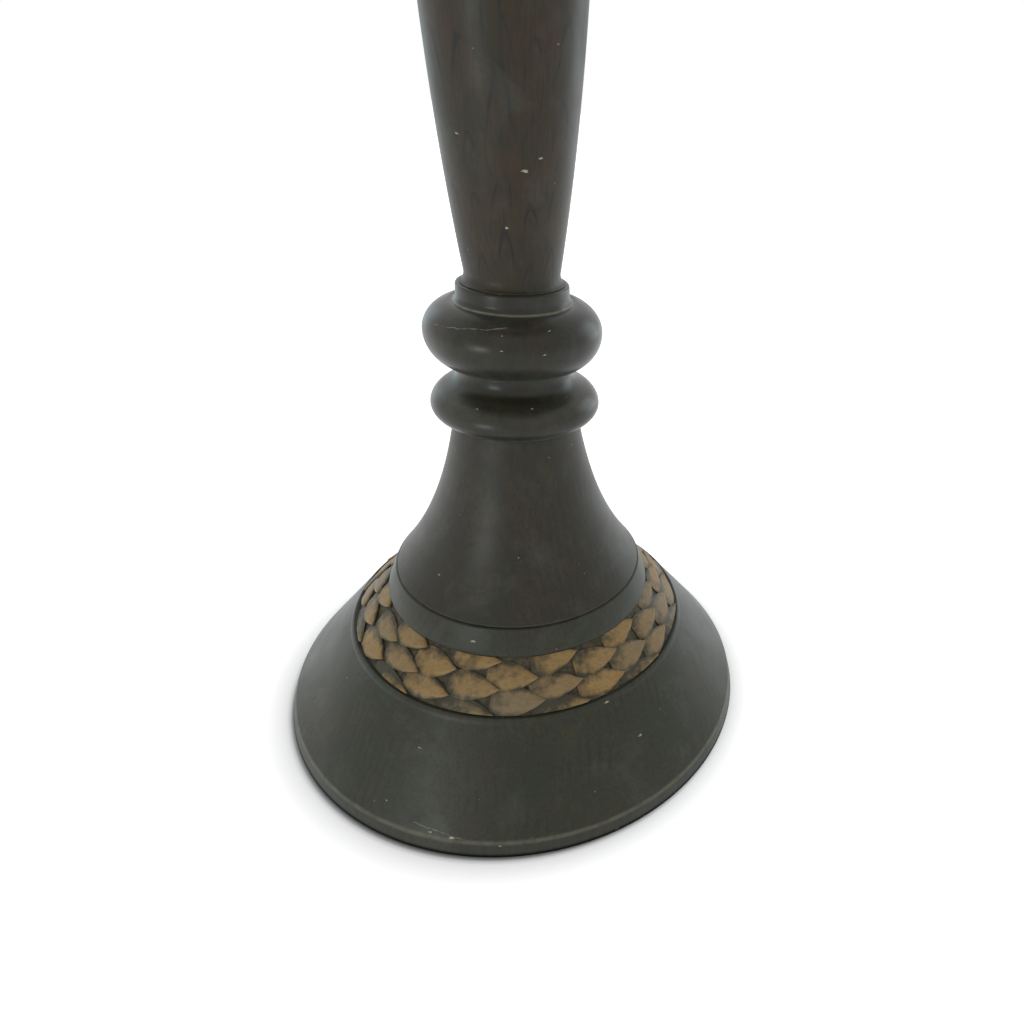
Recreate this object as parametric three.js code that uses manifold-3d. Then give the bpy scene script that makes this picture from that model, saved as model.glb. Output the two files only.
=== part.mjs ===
// Table lamp with a turned and carved wooden base, a switched bayonet lampholder and a stiff shade.
// Millimetres, +Z up. The lamp stands on z = 0, its axis is x = y = 0, and the flex bush is at the back, +Y.
import * as THREE from 'three';
import { mergeVertices } from 'three/addons/utils/BufferGeometryUtils.js';
import Module from 'manifold-3d';

const wasm = await Module();
wasm.setup();

// Clearances and fineness
const CLEARANCE = 0.3;
const WOOD_SIDES = 32;
const METAL_SIDES = 24;
const SMALL_SIDES = 12;

// Wood: heights are those of each turning above the one it stands on
const PAD_INSET = 3;
const PAD_THICKNESS = 1.5;
const FOOT_RADIUS = 90;
const RIM_HEIGHT = 5.3;
const RIM_TAPER = 1.6;
const BAND_LOW_RADIUS = 63.3;
const BAND_LOW_HEIGHT = 35.2;
const BAND_TOP_RADIUS = 48.9;
const BAND_TOP_HEIGHT = 50;
const BAND_DEPTH = 1.3;
const BAND_LIP = 0.7;
const FOOT_TOP_RADIUS = 45.5;
const FOOT_HEIGHT = 58.6;
const INCISED_LINE = 0.7;
const HOLLOW_RADIUS = 66;
const HOLLOW_WALL_HEIGHT = 15;
const HOLLOW_ROOF_RADIUS = 40;
const HOLLOW_HEIGHT = 26;

const BELL_HEIGHT = 57.4;
const BELL_TOP_RADIUS = 21.1;
const BELL_LIMIT_RADIUS = 14;
const BELL_STEPS = 7;

const LOWER_RING = { core: 18.4, swell: 9.6, below: 5.9, above: 7.2 };
const RING_COVE_FROM = 58;
const NECK_HEIGHT = 6.2;
const UPPER_RING = { core: 17.2, swell: 11.2, below: 10.8, above: 9.9 };
const COLLAR_RADIUS = 17.5;
const COLLAR_HEIGHT = 5;
const COLLAR_EDGE = 1.2;
const COLLAR_RECESS = 1;
const COLLAR_SHADOW_GAP = 0.5;
const RING_STEPS = 4;

const SHAFT_LENGTH = 230.5;
const SHAFT_FOOT_RADIUS = 14.1;
const SHAFT_BELLY = { radius: 22.7, height: 109 };
const SHAFT_TOP_RADIUS = 14.5;
const SHAFT_STEPS = 5;

const CAP_BEAD = { core: 13.5, swell: 6, halfHeight: 5 };
const CAP_COVE_HEIGHT = 14;
const CAP_TOP_RADIUS = 18;
const CAP_EDGE_HEIGHT = 9;

const FOOT_SPIGOT = { radius: 15, length: 14 };
const KNOP_SPIGOT = { radius: 11, length: 12 };
const SHAFT_SPIGOT = { radius: 10, length: 13 };
const CAP_SPIGOT = { radius: 9, length: 14 };

// Leaf band: pointed leaves in staggered rows, tips anticlockwise
const LEAVES_ROUND = 12;
const LEAF_ROWS = [0.08, 0.33, 0.545, 0.76, 0.975];
const LEAF_FIRST_TIP = -84;
const LEAF_LENGTH = 17;
const LEAF_WIDTH = 9.6;
const LEAF_TIP_RISE = 1.9;
const LEAF_ROOT = 0.5;
const LEAF_OUTLINE = [[0, 0.8], [0.5, 0.96], [1, 0]];

// Lamp pipe and its fastenings
const PIPE_RADIUS = 5;
const PIPE_WALL = 1.25;
const PIPE_BELOW_NUT = 3;
const PIPE_INTO_HOLDER = 9;
const WASHER = { radius: 12, thickness: 2 };
const NUT = { acrossFlats: 17, height: 5 };
const LOCK_NUT = { acrossFlats: 14, height: 4 };
const VASE_CAP = { radius: 17, edge: 1, height: 3.5, seatRadius: 8.5 };

// Flex bush in the back of the foot
const BUSH_HEIGHT = 12;
const BUSH_BORE_RADIUS = 2.7;
const BUSH_SHANK_RADIUS = 3.8;
const BUSH_HEAD = { radius: 5, thickness: 2 };
const BUSH_SEAT_DEPTH = 4;

// Bayonet lampholder
const ENTRY_RADIUS = 7.5;
const ENTRY_HEIGHT = 7;
const HOLDER_RADIUS = 16.5;
const HOLDER_WALL = 1.2;
const HOLDER_CAP_HEIGHT = 21;
const HOLDER_LEDGE = 1.3;
const HOLDER_BODY_HEIGHT = 27;
const HOLDER_BEAD = 0.8;
const SKIRT_RADIUS = 14;
const SKIRT_WALL = 2.4;
const SKIRT_HEIGHT = 25;
const SKIRT_FLANGE = { radius: 18, thickness: 2 };
const INSULATOR_NOSE = { radius: 11, height: 6 };
const SWITCH_BAR = { length: 46, width: 8, height: 4, corner: 1.2 };
const SWITCH_HEIGHT = 12;
const SWITCH_TRAVEL = 6;
const CONTACT_OFFSET = 4.2;
const PLUNGER = { radius: 2, length: 13 };
const PLUNGER_BORE_FLOOR = 17;
const SPRING_WALL = 0.8;
const SCREW = { offset: 9, radius: 2, length: 4, depth: 5 };
const SLOT_WIDTH = 2.8;
const SLOT_OFFSET = 5;

// Bulb
const BULB_CAP_RADIUS = 11;
const BULB_CAP_WALL = 0.8;
const BULB_CAP_HEIGHT = 24;
const BULB_BASE_HEIGHT = 10;
const BULB_PIN = { radius: 1.1, reach: 2.2, height: 6.5 };
const BULB_PUSH = 2.5;
const BULB_CONTACT = { radius: 1.9, height: 0.7 };
const BULB_INSULATOR_HEIGHT = 4;
const BULB_RADIUS = 30;
const BULB_LENGTH = 107.5;
const GLASS_WALL = 1.2;
const GLASS_IN_CAP = 16;

// Shade
const SHADE_RING = { radius: 20, height: 6.5 };
const FITTER = { rimBeyondRing: 2.5, thickness: 1.5 };
const SHADE_DROP = 45;
const SHADE_HEIGHT = 212;
const SHADE_BOTTOM_RADIUS = 170;
const SHADE_TOP_RADIUS = 100;
const SHADE_SIDES = 36;
const COVER_THICKNESS = 1.2;
const WIRE_RADIUS = 1.5;
const ARM_COUNT = 3;
const ARM_FIRST = 90;
const ARM_LEVEL_RUN = 12;
const TRIM_HEIGHT = 9;
const TRIM_THICKNESS = 0.8;

// Heights above the table, each worked out from the piece below
const footBase = PAD_THICKNESS;
const footTop = footBase + FOOT_HEIGHT;
const hollowRoof = footBase + HOLLOW_HEIGHT;
const bellTop = footTop + BELL_HEIGHT;
const lowerRingMiddle = bellTop + LOWER_RING.below;
const neckMiddle = lowerRingMiddle + LOWER_RING.above + NECK_HEIGHT / 2;
const upperRingMiddle = neckMiddle + NECK_HEIGHT / 2 + UPPER_RING.below;
const collarFoot = upperRingMiddle + UPPER_RING.above;
const collarTop = collarFoot + COLLAR_HEIGHT;
const shaftFoot = collarTop - COLLAR_RECESS;
const shaftTop = shaftFoot + SHAFT_LENGTH;
const beadTop = shaftTop + 2 * CAP_BEAD.halfHeight;
const woodTop = beadTop + CAP_COVE_HEIGHT + CAP_EDGE_HEIGHT;
const lockNutFoot = woodTop + VASE_CAP.height;
const holderFoot = lockNutFoot + LOCK_NUT.height;
const bodyFoot = holderFoot + HOLDER_CAP_HEIGHT;
const bodyTop = bodyFoot + HOLDER_BODY_HEIGHT;
const skirtTop = bodyTop + SKIRT_HEIGHT;
const flangeTop = bodyTop + SKIRT_FLANGE.thickness;
const switchMiddle = bodyFoot + SWITCH_HEIGHT;
const bulbFoot = bodyTop + BULB_BASE_HEIGHT;
const pinMiddle = bulbFoot + BULB_PIN.height;
const fitterFoot = flangeTop + CLEARANCE;
const fitterTop = fitterFoot + FITTER.thickness;
const fitterRadius = SHADE_RING.radius + FITTER.rimBeyondRing;
const shadeFoot = fitterFoot - SHADE_DROP;
const shadeTop = shadeFoot + SHADE_HEIGHT;

const boreRadius = PIPE_RADIUS + CLEARANCE;

// Materials
function finish(color, roughness, metalness = 0) {
  return new THREE.MeshStandardMaterial({ color, roughness, metalness });
}

const stainedWood = finish(0x3f3d36, 0.42);
const carvedWood = finish(0x45413a, 0.45);
const baize = finish(0x1d1c1a, 0.95);
const steel = finish(0x8c8d8e, 0.4, 1);
const brass = finish(0xb08d4f, 0.34, 1);
const brownPlastic = finish(0x3b2418, 0.3);
const whitePlastic = finish(0xd9d4c7, 0.4);
const solder = finish(0xa7a8a6, 0.45, 1);
const blackGlass = finish(0x17171a, 0.25);
const pearlGlass = finish(0xf1eee6, 0.3);
const springSteel = finish(0xa0a0a2, 0.35, 1);
const wire = finish(0xd8d6d0, 0.5);
const shadeCloth = finish(0xe9dfc9, 0.85);
const shadeBinding = finish(0xdccdae, 0.85);

// The exported lamp and the shape helpers
const lamp = new THREE.Group();

function add(name, geometry, material) {
  const mesh = new THREE.Mesh(geometry, material);
  mesh.name = name;
  lamp.add(mesh);
  return mesh;
}

// Turns a profile of [radius, height] pairs about the Z axis; a profile off the axis is closed on itself.
function turned(profile, sides) {
  const points = profile.map(([radius, height]) => new THREE.Vector2(radius, height));
  if (profile[0][0] > 0) {
    points.push(points[0].clone());
  }
  return new THREE.LatheGeometry(points, sides).rotateX(Math.PI / 2);
}

// Points on an elliptical arc in the [radius, height] plane, from one angle to another in degrees.
function arc(centre, height, radiusAcross, radiusUp, from, to, steps) {
  const points = [];
  for (let i = 0; i <= steps; i++) {
    const angle = THREE.MathUtils.degToRad(from + ((to - from) * i) / steps);
    points.push([centre + radiusAcross * Math.cos(angle), height + radiusUp * Math.sin(angle)]);
  }
  return points;
}

function box(low, high) {
  const size = high.map((value, i) => value - low[i]);
  return new THREE.BoxGeometry(...size).translate(...low.map((value, i) => value + size[i] / 2));
}

function rod(radius, from, to, sides = SMALL_SIDES) {
  return turned([[0, from], [radius, from], [radius, to], [0, to]], sides);
}

function tube(inner, outer, from, to, sides) {
  return turned([[inner, from], [outer, from], [outer, to], [inner, to]], sides);
}

// Booleans
function solid(geometry) {
  const bare = geometry.clone();
  bare.deleteAttribute('normal');
  bare.deleteAttribute('uv');
  const merged = mergeVertices(bare, 1e-4);
  const kept = [];
  for (let i = 0; i < merged.index.count; i += 3) {
    const [a, b, c] = [0, 1, 2].map((k) => merged.index.getX(i + k));
    if (a !== b && b !== c && c !== a) {
      kept.push(a, b, c);
    }
  }
  const mesh = new wasm.Mesh({
    numProp: 3,
    vertProperties: Float32Array.from(merged.attributes.position.array),
    triVerts: Uint32Array.from(kept),
  });
  return new wasm.Manifold(mesh);
}

function geometryOf(manifold) {
  const mesh = manifold.getMesh();
  const geometry = new THREE.BufferGeometry();
  geometry.setAttribute('position', new THREE.BufferAttribute(mesh.vertProperties, 3));
  geometry.setIndex(new THREE.BufferAttribute(mesh.triVerts, 1));
  return geometry;
}

function joined(...geometries) {
  return geometryOf(geometries.map(solid).reduce((whole, part) => whole.add(part)));
}

function cut(geometry, ...cutters) {
  return geometryOf(cutters.map(solid).reduce((whole, part) => whole.subtract(part), solid(geometry)));
}

function hexNut(nut, foot) {
  const corner = nut.acrossFlats / Math.sqrt(3);
  const outline = new THREE.Shape();
  for (let i = 0; i < 6; i++) {
    const angle = (i * Math.PI) / 3;
    const point = [corner * Math.cos(angle), corner * Math.sin(angle)];
    if (i === 0) {
      outline.moveTo(...point);
    } else {
      outline.lineTo(...point);
    }
  }
  outline.closePath();
  outline.holes.push(new THREE.Path().absarc(0, 0, boreRadius, 0, 2 * Math.PI, true));
  const settings = { depth: nut.height, bevelEnabled: false, curveSegments: SMALL_SIDES };
  return new THREE.ExtrudeGeometry(outline, settings).translate(0, 0, foot);
}

// Leaf band: the recessed ground is a cone between these two points of the foot's profile
const bandLow = new THREE.Vector2(BAND_LOW_RADIUS, footBase + BAND_LOW_HEIGHT);
const bandTop = new THREE.Vector2(BAND_TOP_RADIUS, footBase + BAND_TOP_HEIGHT);
const bandDown = bandLow.clone().sub(bandTop).normalize();
const bandOut = new THREE.Vector2(-bandDown.y, bandDown.x);
const groundTop = bandTop.clone().addScaledVector(bandDown, BAND_LIP).addScaledVector(bandOut, -BAND_DEPTH);
const groundLow = bandLow.clone().addScaledVector(bandDown, -BAND_LIP).addScaledVector(bandOut, -BAND_DEPTH);
const groundWidth = groundTop.distanceTo(groundLow);
const groundRadius = (groundTop.x + groundLow.x) / 2;

function onBand(angle, down, rise) {
  const place = groundTop.clone().lerp(groundLow, down).addScaledVector(bandOut, rise);
  return new THREE.Vector3(place.x * Math.cos(angle), place.x * Math.sin(angle), place.y);
}

// One leaf: its root lies under the ground and its tip stands proud, as in overlapping scales.
function leaf(tipAngle, down) {
  const half = LEAF_OUTLINE.map(([along, width]) => [along * LEAF_LENGTH, (width * LEAF_WIDTH) / 2]);
  const sides = [...half, ...half.slice(0, -1).reverse().map(([along, across]) => [along, -across])];
  const outline = new THREE.Shape(sides.map(([along, across]) => new THREE.Vector2(along, across)));
  const geometry = new THREE.ExtrudeGeometry(outline, { depth: 1, bevelEnabled: false });
  const places = geometry.attributes.position;
  const edge = BAND_LIP / groundWidth / 2;
  for (let i = 0; i < places.count; i++) {
    const along = places.getX(i) - LEAF_LENGTH;
    const row = THREE.MathUtils.clamp(down - places.getY(i) / groundWidth, edge, 1 - edge);
    const top = (LEAF_TIP_RISE * places.getX(i)) / LEAF_LENGTH;
    const rise = places.getZ(i) > 0.5 ? top : -LEAF_ROOT;
    const point = onBand(tipAngle + along / groundRadius, row, rise);
    places.setXYZ(i, point.x, point.y, point.z);
  }
  return geometry;
}

function leafBand() {
  const leaves = [];
  const pitch = 360 / LEAVES_ROUND;
  LEAF_ROWS.forEach((down, row) => {
    const stagger = row % 2 === 0 ? pitch / 2 : 0;
    for (let i = 0; i < LEAVES_ROUND; i++) {
      const tip = THREE.MathUtils.degToRad(LEAF_FIRST_TIP + stagger + i * pitch);
      leaves.push(leaf(tip, down));
    }
  });
  return leaves;
}

// Wood and its pad
const bushSeatRadius = FOOT_RADIUS - RIM_TAPER - BUSH_SEAT_DEPTH - (BUSH_HEIGHT - RIM_HEIGHT);

function footShape() {
  const socketFloor = footTop - FOOT_SPIGOT.length - CLEARANCE;
  const profile = [
    [FOOT_RADIUS, footBase],
    [FOOT_RADIUS - RIM_TAPER, footBase + RIM_HEIGHT],
    [bandLow.x, bandLow.y],
    [groundLow.x, groundLow.y],
    [groundTop.x, groundTop.y],
    [bandTop.x, bandTop.y],
    [FOOT_TOP_RADIUS + INCISED_LINE / 2, footTop - INCISED_LINE],
    [FOOT_TOP_RADIUS - INCISED_LINE, footTop],
    [FOOT_SPIGOT.radius + CLEARANCE, footTop],
    [FOOT_SPIGOT.radius + CLEARANCE, socketFloor],
    [boreRadius, socketFloor],
    [boreRadius, hollowRoof],
    [HOLLOW_ROOF_RADIUS, hollowRoof],
    [HOLLOW_RADIUS, footBase + HOLLOW_WALL_HEIGHT],
    [HOLLOW_RADIUS, footBase],
  ];
  const height = footBase + BUSH_HEIGHT;
  const hole = new THREE.CylinderGeometry(1, 1, 1, SMALL_SIDES);
  const shank = hole.clone();
  shank.scale(BUSH_SHANK_RADIUS + CLEARANCE, FOOT_RADIUS, BUSH_SHANK_RADIUS + CLEARANCE);
  shank.translate(0, bushSeatRadius, height);
  const seat = hole.clone();
  seat.scale(BUSH_HEAD.radius + CLEARANCE, FOOT_RADIUS, BUSH_HEAD.radius + CLEARANCE);
  seat.translate(0, bushSeatRadius + FOOT_RADIUS / 2, height);
  const carved = joined(turned(profile, WOOD_SIDES), ...leafBand());
  return cut(carved, shank, seat);
}

function bushShape() {
  const innerEnd = HOLLOW_RADIUS - BUSH_HEAD.thickness - bushSeatRadius;
  const profile = [
    [BUSH_BORE_RADIUS, innerEnd],
    [BUSH_SHANK_RADIUS, innerEnd],
    [BUSH_SHANK_RADIUS, CLEARANCE],
    [BUSH_HEAD.radius, CLEARANCE],
    [BUSH_HEAD.radius, CLEARANCE + BUSH_HEAD.thickness],
    [BUSH_BORE_RADIUS, CLEARANCE + BUSH_HEAD.thickness],
  ];
  const geometry = turned(profile, SMALL_SIDES).rotateX(-Math.PI / 2);
  return geometry.translate(0, bushSeatRadius, footBase + BUSH_HEIGHT);
}

// The bell narrows upwards as an exponential curve does.
function bellRadius(height) {
  const share = (BELL_TOP_RADIUS - BELL_LIMIT_RADIUS) / (FOOT_TOP_RADIUS - BELL_LIMIT_RADIUS);
  return BELL_LIMIT_RADIUS + (FOOT_TOP_RADIUS - BELL_LIMIT_RADIUS) * share ** (height / BELL_HEIGHT);
}

function bellShape() {
  const spigotFoot = footTop - FOOT_SPIGOT.length;
  const socketFloor = bellTop - KNOP_SPIGOT.length - CLEARANCE;
  const curve = [];
  for (let i = 0; i <= BELL_STEPS; i++) {
    const height = INCISED_LINE + ((BELL_HEIGHT - INCISED_LINE) * i) / BELL_STEPS;
    curve.push([bellRadius(height), footTop + height]);
  }
  return turned([
    [boreRadius, spigotFoot],
    [FOOT_SPIGOT.radius, spigotFoot],
    [FOOT_SPIGOT.radius, footTop],
    [FOOT_TOP_RADIUS - INCISED_LINE, footTop],
    ...curve,
    [KNOP_SPIGOT.radius + CLEARANCE, bellTop],
    [KNOP_SPIGOT.radius + CLEARANCE, socketFloor],
    [boreRadius, socketFloor],
  ], WOOD_SIDES);
}

function ringArcs(ring, middle, from, to) {
  const below = arc(ring.core, middle, ring.swell, ring.below, from, 0, RING_STEPS);
  const above = arc(ring.core, middle, ring.swell, ring.above, 0, to, RING_STEPS);
  return [...below, ...above.slice(1)];
}

// The cove leaves the lower ring along its slope and meets the upper ring upright.
function neckCove(start, end) {
  const angle = THREE.MathUtils.degToRad(RING_COVE_FROM);
  const slope = (LOWER_RING.above * Math.cos(angle)) / (LOWER_RING.swell * Math.sin(angle));
  const corner = new THREE.Vector2(end[0], start[1] + (start[0] - end[0]) * slope);
  const curve = new THREE.QuadraticBezierCurve(new THREE.Vector2(...start), corner, new THREE.Vector2(...end));
  return curve.getPoints(RING_STEPS).slice(1, -1).map((point) => [point.x, point.y]);
}

function knopShape() {
  const spigotFoot = bellTop - KNOP_SPIGOT.length;
  const socketFloor = shaftFoot - SHAFT_SPIGOT.length - CLEARANCE;
  const lower = ringArcs(LOWER_RING, lowerRingMiddle, -80, RING_COVE_FROM);
  const upper = ringArcs(UPPER_RING, upperRingMiddle, -85, 90);
  return turned([
    [boreRadius, spigotFoot],
    [KNOP_SPIGOT.radius, spigotFoot],
    [KNOP_SPIGOT.radius, bellTop],
    ...lower,
    ...neckCove(lower.at(-1), upper[0]),
    ...upper,
    [COLLAR_RADIUS, collarFoot],
    [COLLAR_RADIUS, collarTop - COLLAR_EDGE],
    [COLLAR_RADIUS - COLLAR_EDGE, collarTop],
    [SHAFT_FOOT_RADIUS + COLLAR_SHADOW_GAP, collarTop],
    [SHAFT_FOOT_RADIUS + COLLAR_SHADOW_GAP, shaftFoot],
    [SHAFT_SPIGOT.radius + CLEARANCE, shaftFoot],
    [SHAFT_SPIGOT.radius + CLEARANCE, socketFloor],
    [boreRadius, socketFloor],
  ], WOOD_SIDES);
}

// The shaft swells as a parabola does up to its belly, and draws in above it to a slim top.
function shaftRadius(height) {
  const above = height - SHAFT_BELLY.height;
  if (above < 0) {
    return SHAFT_BELLY.radius - (SHAFT_BELLY.radius - SHAFT_FOOT_RADIUS) * (above / SHAFT_BELLY.height) ** 2;
  }
  const turn = (Math.PI * above) / (SHAFT_LENGTH - SHAFT_BELLY.height);
  return SHAFT_TOP_RADIUS + ((SHAFT_BELLY.radius - SHAFT_TOP_RADIUS) * (1 + Math.cos(turn))) / 2;
}

function shaftShape() {
  const spigotFoot = shaftFoot - SHAFT_SPIGOT.length;
  const socketFloor = shaftTop - CAP_SPIGOT.length - CLEARANCE;
  const side = [];
  for (let i = 0; i <= 2 * SHAFT_STEPS; i++) {
    const height = (SHAFT_LENGTH * i) / (2 * SHAFT_STEPS);
    side.push([shaftRadius(height), shaftFoot + height]);
  }
  return turned([
    [boreRadius, spigotFoot],
    [SHAFT_SPIGOT.radius, spigotFoot],
    [SHAFT_SPIGOT.radius, shaftFoot],
    ...side,
    [CAP_SPIGOT.radius + CLEARANCE, shaftTop],
    [CAP_SPIGOT.radius + CLEARANCE, socketFloor],
    [boreRadius, socketFloor],
  ], WOOD_SIDES);
}

function shaftCapShape() {
  const spigotFoot = shaftTop - CAP_SPIGOT.length;
  const { core, swell, halfHeight } = CAP_BEAD;
  const bead = arc(core, shaftTop + halfHeight, swell, halfHeight, -90, 90, 2 * RING_STEPS - 2);
  const cove = arc(CAP_TOP_RADIUS, beadTop, CAP_TOP_RADIUS - core, CAP_COVE_HEIGHT, 180, 90, RING_STEPS);
  return turned([
    [boreRadius, spigotFoot],
    [CAP_SPIGOT.radius, spigotFoot],
    [CAP_SPIGOT.radius, shaftTop],
    ...bead,
    ...cove.slice(1),
    [CAP_TOP_RADIUS, woodTop],
    [boreRadius, woodTop],
  ], WOOD_SIDES);
}

add('base_pad', rod(FOOT_RADIUS - PAD_INSET, 0, footBase, WOOD_SIDES), baize);
add('foot', footShape(), carvedWood);
add('cord_bush', bushShape(), brownPlastic);
add('bell', bellShape(), stainedWood);
add('knop', knopShape(), stainedWood);
add('shaft', shaftShape(), stainedWood);
add('shaft_cap', shaftCapShape(), stainedWood);

// Lamp pipe, and what clamps the turnings on it
const washerFoot = hollowRoof - WASHER.thickness;
const nutFoot = washerFoot - NUT.height;
const pipeFoot = nutFoot - PIPE_BELOW_NUT;
const pipeTop = holderFoot + PIPE_INTO_HOLDER;

function vaseCapShape() {
  return turned([
    [boreRadius, woodTop],
    [VASE_CAP.radius, woodTop],
    [VASE_CAP.radius, woodTop + VASE_CAP.edge],
    [(VASE_CAP.radius + VASE_CAP.seatRadius) / 2, (woodTop + VASE_CAP.edge + lockNutFoot) / 2 + VASE_CAP.edge / 2],
    [VASE_CAP.seatRadius, lockNutFoot],
    [boreRadius, lockNutFoot],
  ], METAL_SIDES);
}

add('lamp_pipe', tube(PIPE_RADIUS - PIPE_WALL, PIPE_RADIUS, pipeFoot, pipeTop, SMALL_SIDES * 2), steel);
add('pipe_washer', tube(boreRadius, WASHER.radius, washerFoot, hollowRoof, SMALL_SIDES * 2), steel);
add('pipe_nut', hexNut(NUT, nutFoot), steel);
add('vase_cap', vaseCapShape(), brass);
add('lock_nut', hexNut(LOCK_NUT, lockNutFoot), brass);

// Lampholder
const ledgeRadius = HOLDER_RADIUS - HOLDER_WALL - HOLDER_LEDGE;
const plungerTop = bulbFoot - CLEARANCE;
const plungerFoot = plungerTop - PLUNGER.length;
const boreFloor = bodyFoot + PLUNGER_BORE_FLOOR;

function holderCapShape() {
  const dome = HOLDER_CAP_HEIGHT - ENTRY_HEIGHT;
  const outer = arc(ENTRY_RADIUS, bodyFoot, HOLDER_RADIUS - ENTRY_RADIUS, dome, -90, 0, RING_STEPS);
  const roof = holderFoot + PIPE_INTO_HOLDER + CLEARANCE;
  const inner = arc(boreRadius, bodyFoot, ledgeRadius - boreRadius, bodyFoot - roof, 0, -90, RING_STEPS);
  return turned([
    [boreRadius, holderFoot],
    [ENTRY_RADIUS, holderFoot],
    ...outer,
    ...inner,
  ], METAL_SIDES);
}

function holderBodyShape() {
  const inside = HOLDER_RADIUS - HOLDER_WALL;
  const shell = turned([
    [inside, bodyFoot],
    [HOLDER_RADIUS + HOLDER_BEAD, bodyFoot],
    [HOLDER_RADIUS + HOLDER_BEAD, bodyFoot + 2 * HOLDER_BEAD],
    [HOLDER_RADIUS, bodyFoot + 3 * HOLDER_BEAD],
    [HOLDER_RADIUS, bodyTop],
    [inside, bodyTop],
  ], METAL_SIDES);
  return cut(shell, switchSlot());
}

function switchSlot() {
  const halfWidth = SWITCH_BAR.width / 2 + CLEARANCE;
  const halfHeight = SWITCH_BAR.height / 2 + CLEARANCE;
  return box(
    [-SWITCH_BAR.length, -halfWidth, switchMiddle - halfHeight],
    [SWITCH_BAR.length, halfWidth, switchMiddle + halfHeight],
  );
}

function insulatorShape() {
  const radius = HOLDER_RADIUS - HOLDER_WALL - CLEARANCE;
  const block = turned([
    [0, bodyFoot],
    [radius, bodyFoot],
    [radius, bodyTop],
    [INSULATOR_NOSE.radius, bodyTop],
    [INSULATOR_NOSE.radius, bodyTop + INSULATOR_NOSE.height],
    [0, bodyTop + INSULATOR_NOSE.height],
  ], METAL_SIDES);
  const bores = [-1, 1].map((side) => rod(PLUNGER.radius + CLEARANCE, boreFloor, skirtTop)
    .translate(side * CONTACT_OFFSET, 0, 0));
  const screwHoles = [-1, 1].map((side) => rod(SCREW.radius + CLEARANCE, bodyFoot - 1, bodyFoot + SCREW.depth)
    .translate(0, side * SCREW.offset, 0));
  return cut(block, switchSlot(), ...bores, ...screwHoles);
}

function switchBarShape() {
  const { length, width, height, corner } = SWITCH_BAR;
  const end = length / 2;
  const outline = new THREE.Shape();
  outline.moveTo(-end + corner, -width / 2);
  outline.lineTo(end - corner, -width / 2);
  outline.quadraticCurveTo(end, -width / 2, end, -width / 2 + corner);
  outline.lineTo(end, width / 2 - corner);
  outline.quadraticCurveTo(end, width / 2, end - corner, width / 2);
  outline.lineTo(-end + corner, width / 2);
  outline.quadraticCurveTo(-end, width / 2, -end, width / 2 - corner);
  outline.lineTo(-end, -width / 2 + corner);
  outline.quadraticCurveTo(-end, -width / 2, -end + corner, -width / 2);
  const bar = new THREE.ExtrudeGeometry(outline, { depth: height, bevelEnabled: false, curveSegments: 3 });
  return bar.translate(-SWITCH_TRAVEL / 2, 0, switchMiddle - height / 2);
}

// The skirt's two J slots: down, round by SLOT_OFFSET and up into the pocket that holds the pin.
function skirtShape() {
  const inside = SKIRT_RADIUS - SKIRT_WALL;
  const skirt = turned([
    [inside, bodyTop],
    [SKIRT_FLANGE.radius, bodyTop],
    [SKIRT_FLANGE.radius, flangeTop],
    [SKIRT_RADIUS, flangeTop],
    [SKIRT_RADIUS, skirtTop],
    [inside, skirtTop],
  ], METAL_SIDES);
  const half = SLOT_WIDTH / 2;
  const pocketTop = pinMiddle + BULB_PIN.radius + CLEARANCE;
  const slotFloor = pinMiddle - BULB_PUSH - BULB_PIN.radius - CLEARANCE;
  const legTop = slotFloor + SLOT_WIDTH;
  const reach = SKIRT_RADIUS + 1;
  const cutters = [0, Math.PI].flatMap((turn) => [
    box([-half, 0, slotFloor], [half, reach, pocketTop]),
    box([-half, 0, slotFloor], [SLOT_OFFSET + half, reach, legTop]),
    box([SLOT_OFFSET - half, 0, slotFloor], [SLOT_OFFSET + half, reach, skirtTop + 1]),
  ].map((slot) => slot.rotateZ(turn)));
  return cut(skirt, ...cutters);
}

add('holder_cap', holderCapShape(), brass);
add('holder_body', holderBodyShape(), brass);
add('holder_insulator', insulatorShape(), whitePlastic);
add('switch_bar', switchBarShape(), brownPlastic);
add('holder_skirt', skirtShape(), brass);

[['left', -1], ['right', 1]].forEach(([side, sign]) => {
  const x = sign * CONTACT_OFFSET;
  const plunger = rod(PLUNGER.radius, plungerFoot, plungerTop).translate(x, 0, 0);
  add(`plunger_${side}`, plunger, brass);
  const inner = PLUNGER.radius - SPRING_WALL;
  const spring = tube(inner, PLUNGER.radius, boreFloor + CLEARANCE, plungerFoot - CLEARANCE, SMALL_SIDES);
  add(`plunger_spring_${side}`, spring.translate(x, 0, 0), springSteel);
});

[['front', -1], ['back', 1]].forEach(([side, sign]) => {
  const top = bodyFoot + SCREW.depth - CLEARANCE;
  const screw = rod(SCREW.radius, top - SCREW.length, top).translate(0, sign * SCREW.offset, 0);
  add(`terminal_screw_${side}`, screw, brass);
});

// Bulb
const capFoot = bulbFoot + BULB_CONTACT.height;
const capTop = bulbFoot + BULB_CAP_HEIGHT;

function bulbCapShape() {
  const inside = BULB_CAP_RADIUS - BULB_CAP_WALL;
  const shell = tube(inside, BULB_CAP_RADIUS, capFoot, capTop, METAL_SIDES);
  const pins = [0, Math.PI].map((turn) => new THREE.CylinderGeometry(
    BULB_PIN.radius,
    BULB_PIN.radius,
    BULB_PIN.reach + BULB_CAP_WALL / 2,
    SMALL_SIDES,
  ).translate(0, BULB_CAP_RADIUS + (BULB_PIN.reach - BULB_CAP_WALL / 2) / 2, pinMiddle).rotateZ(turn));
  return joined(shell, ...pins);
}

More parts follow.
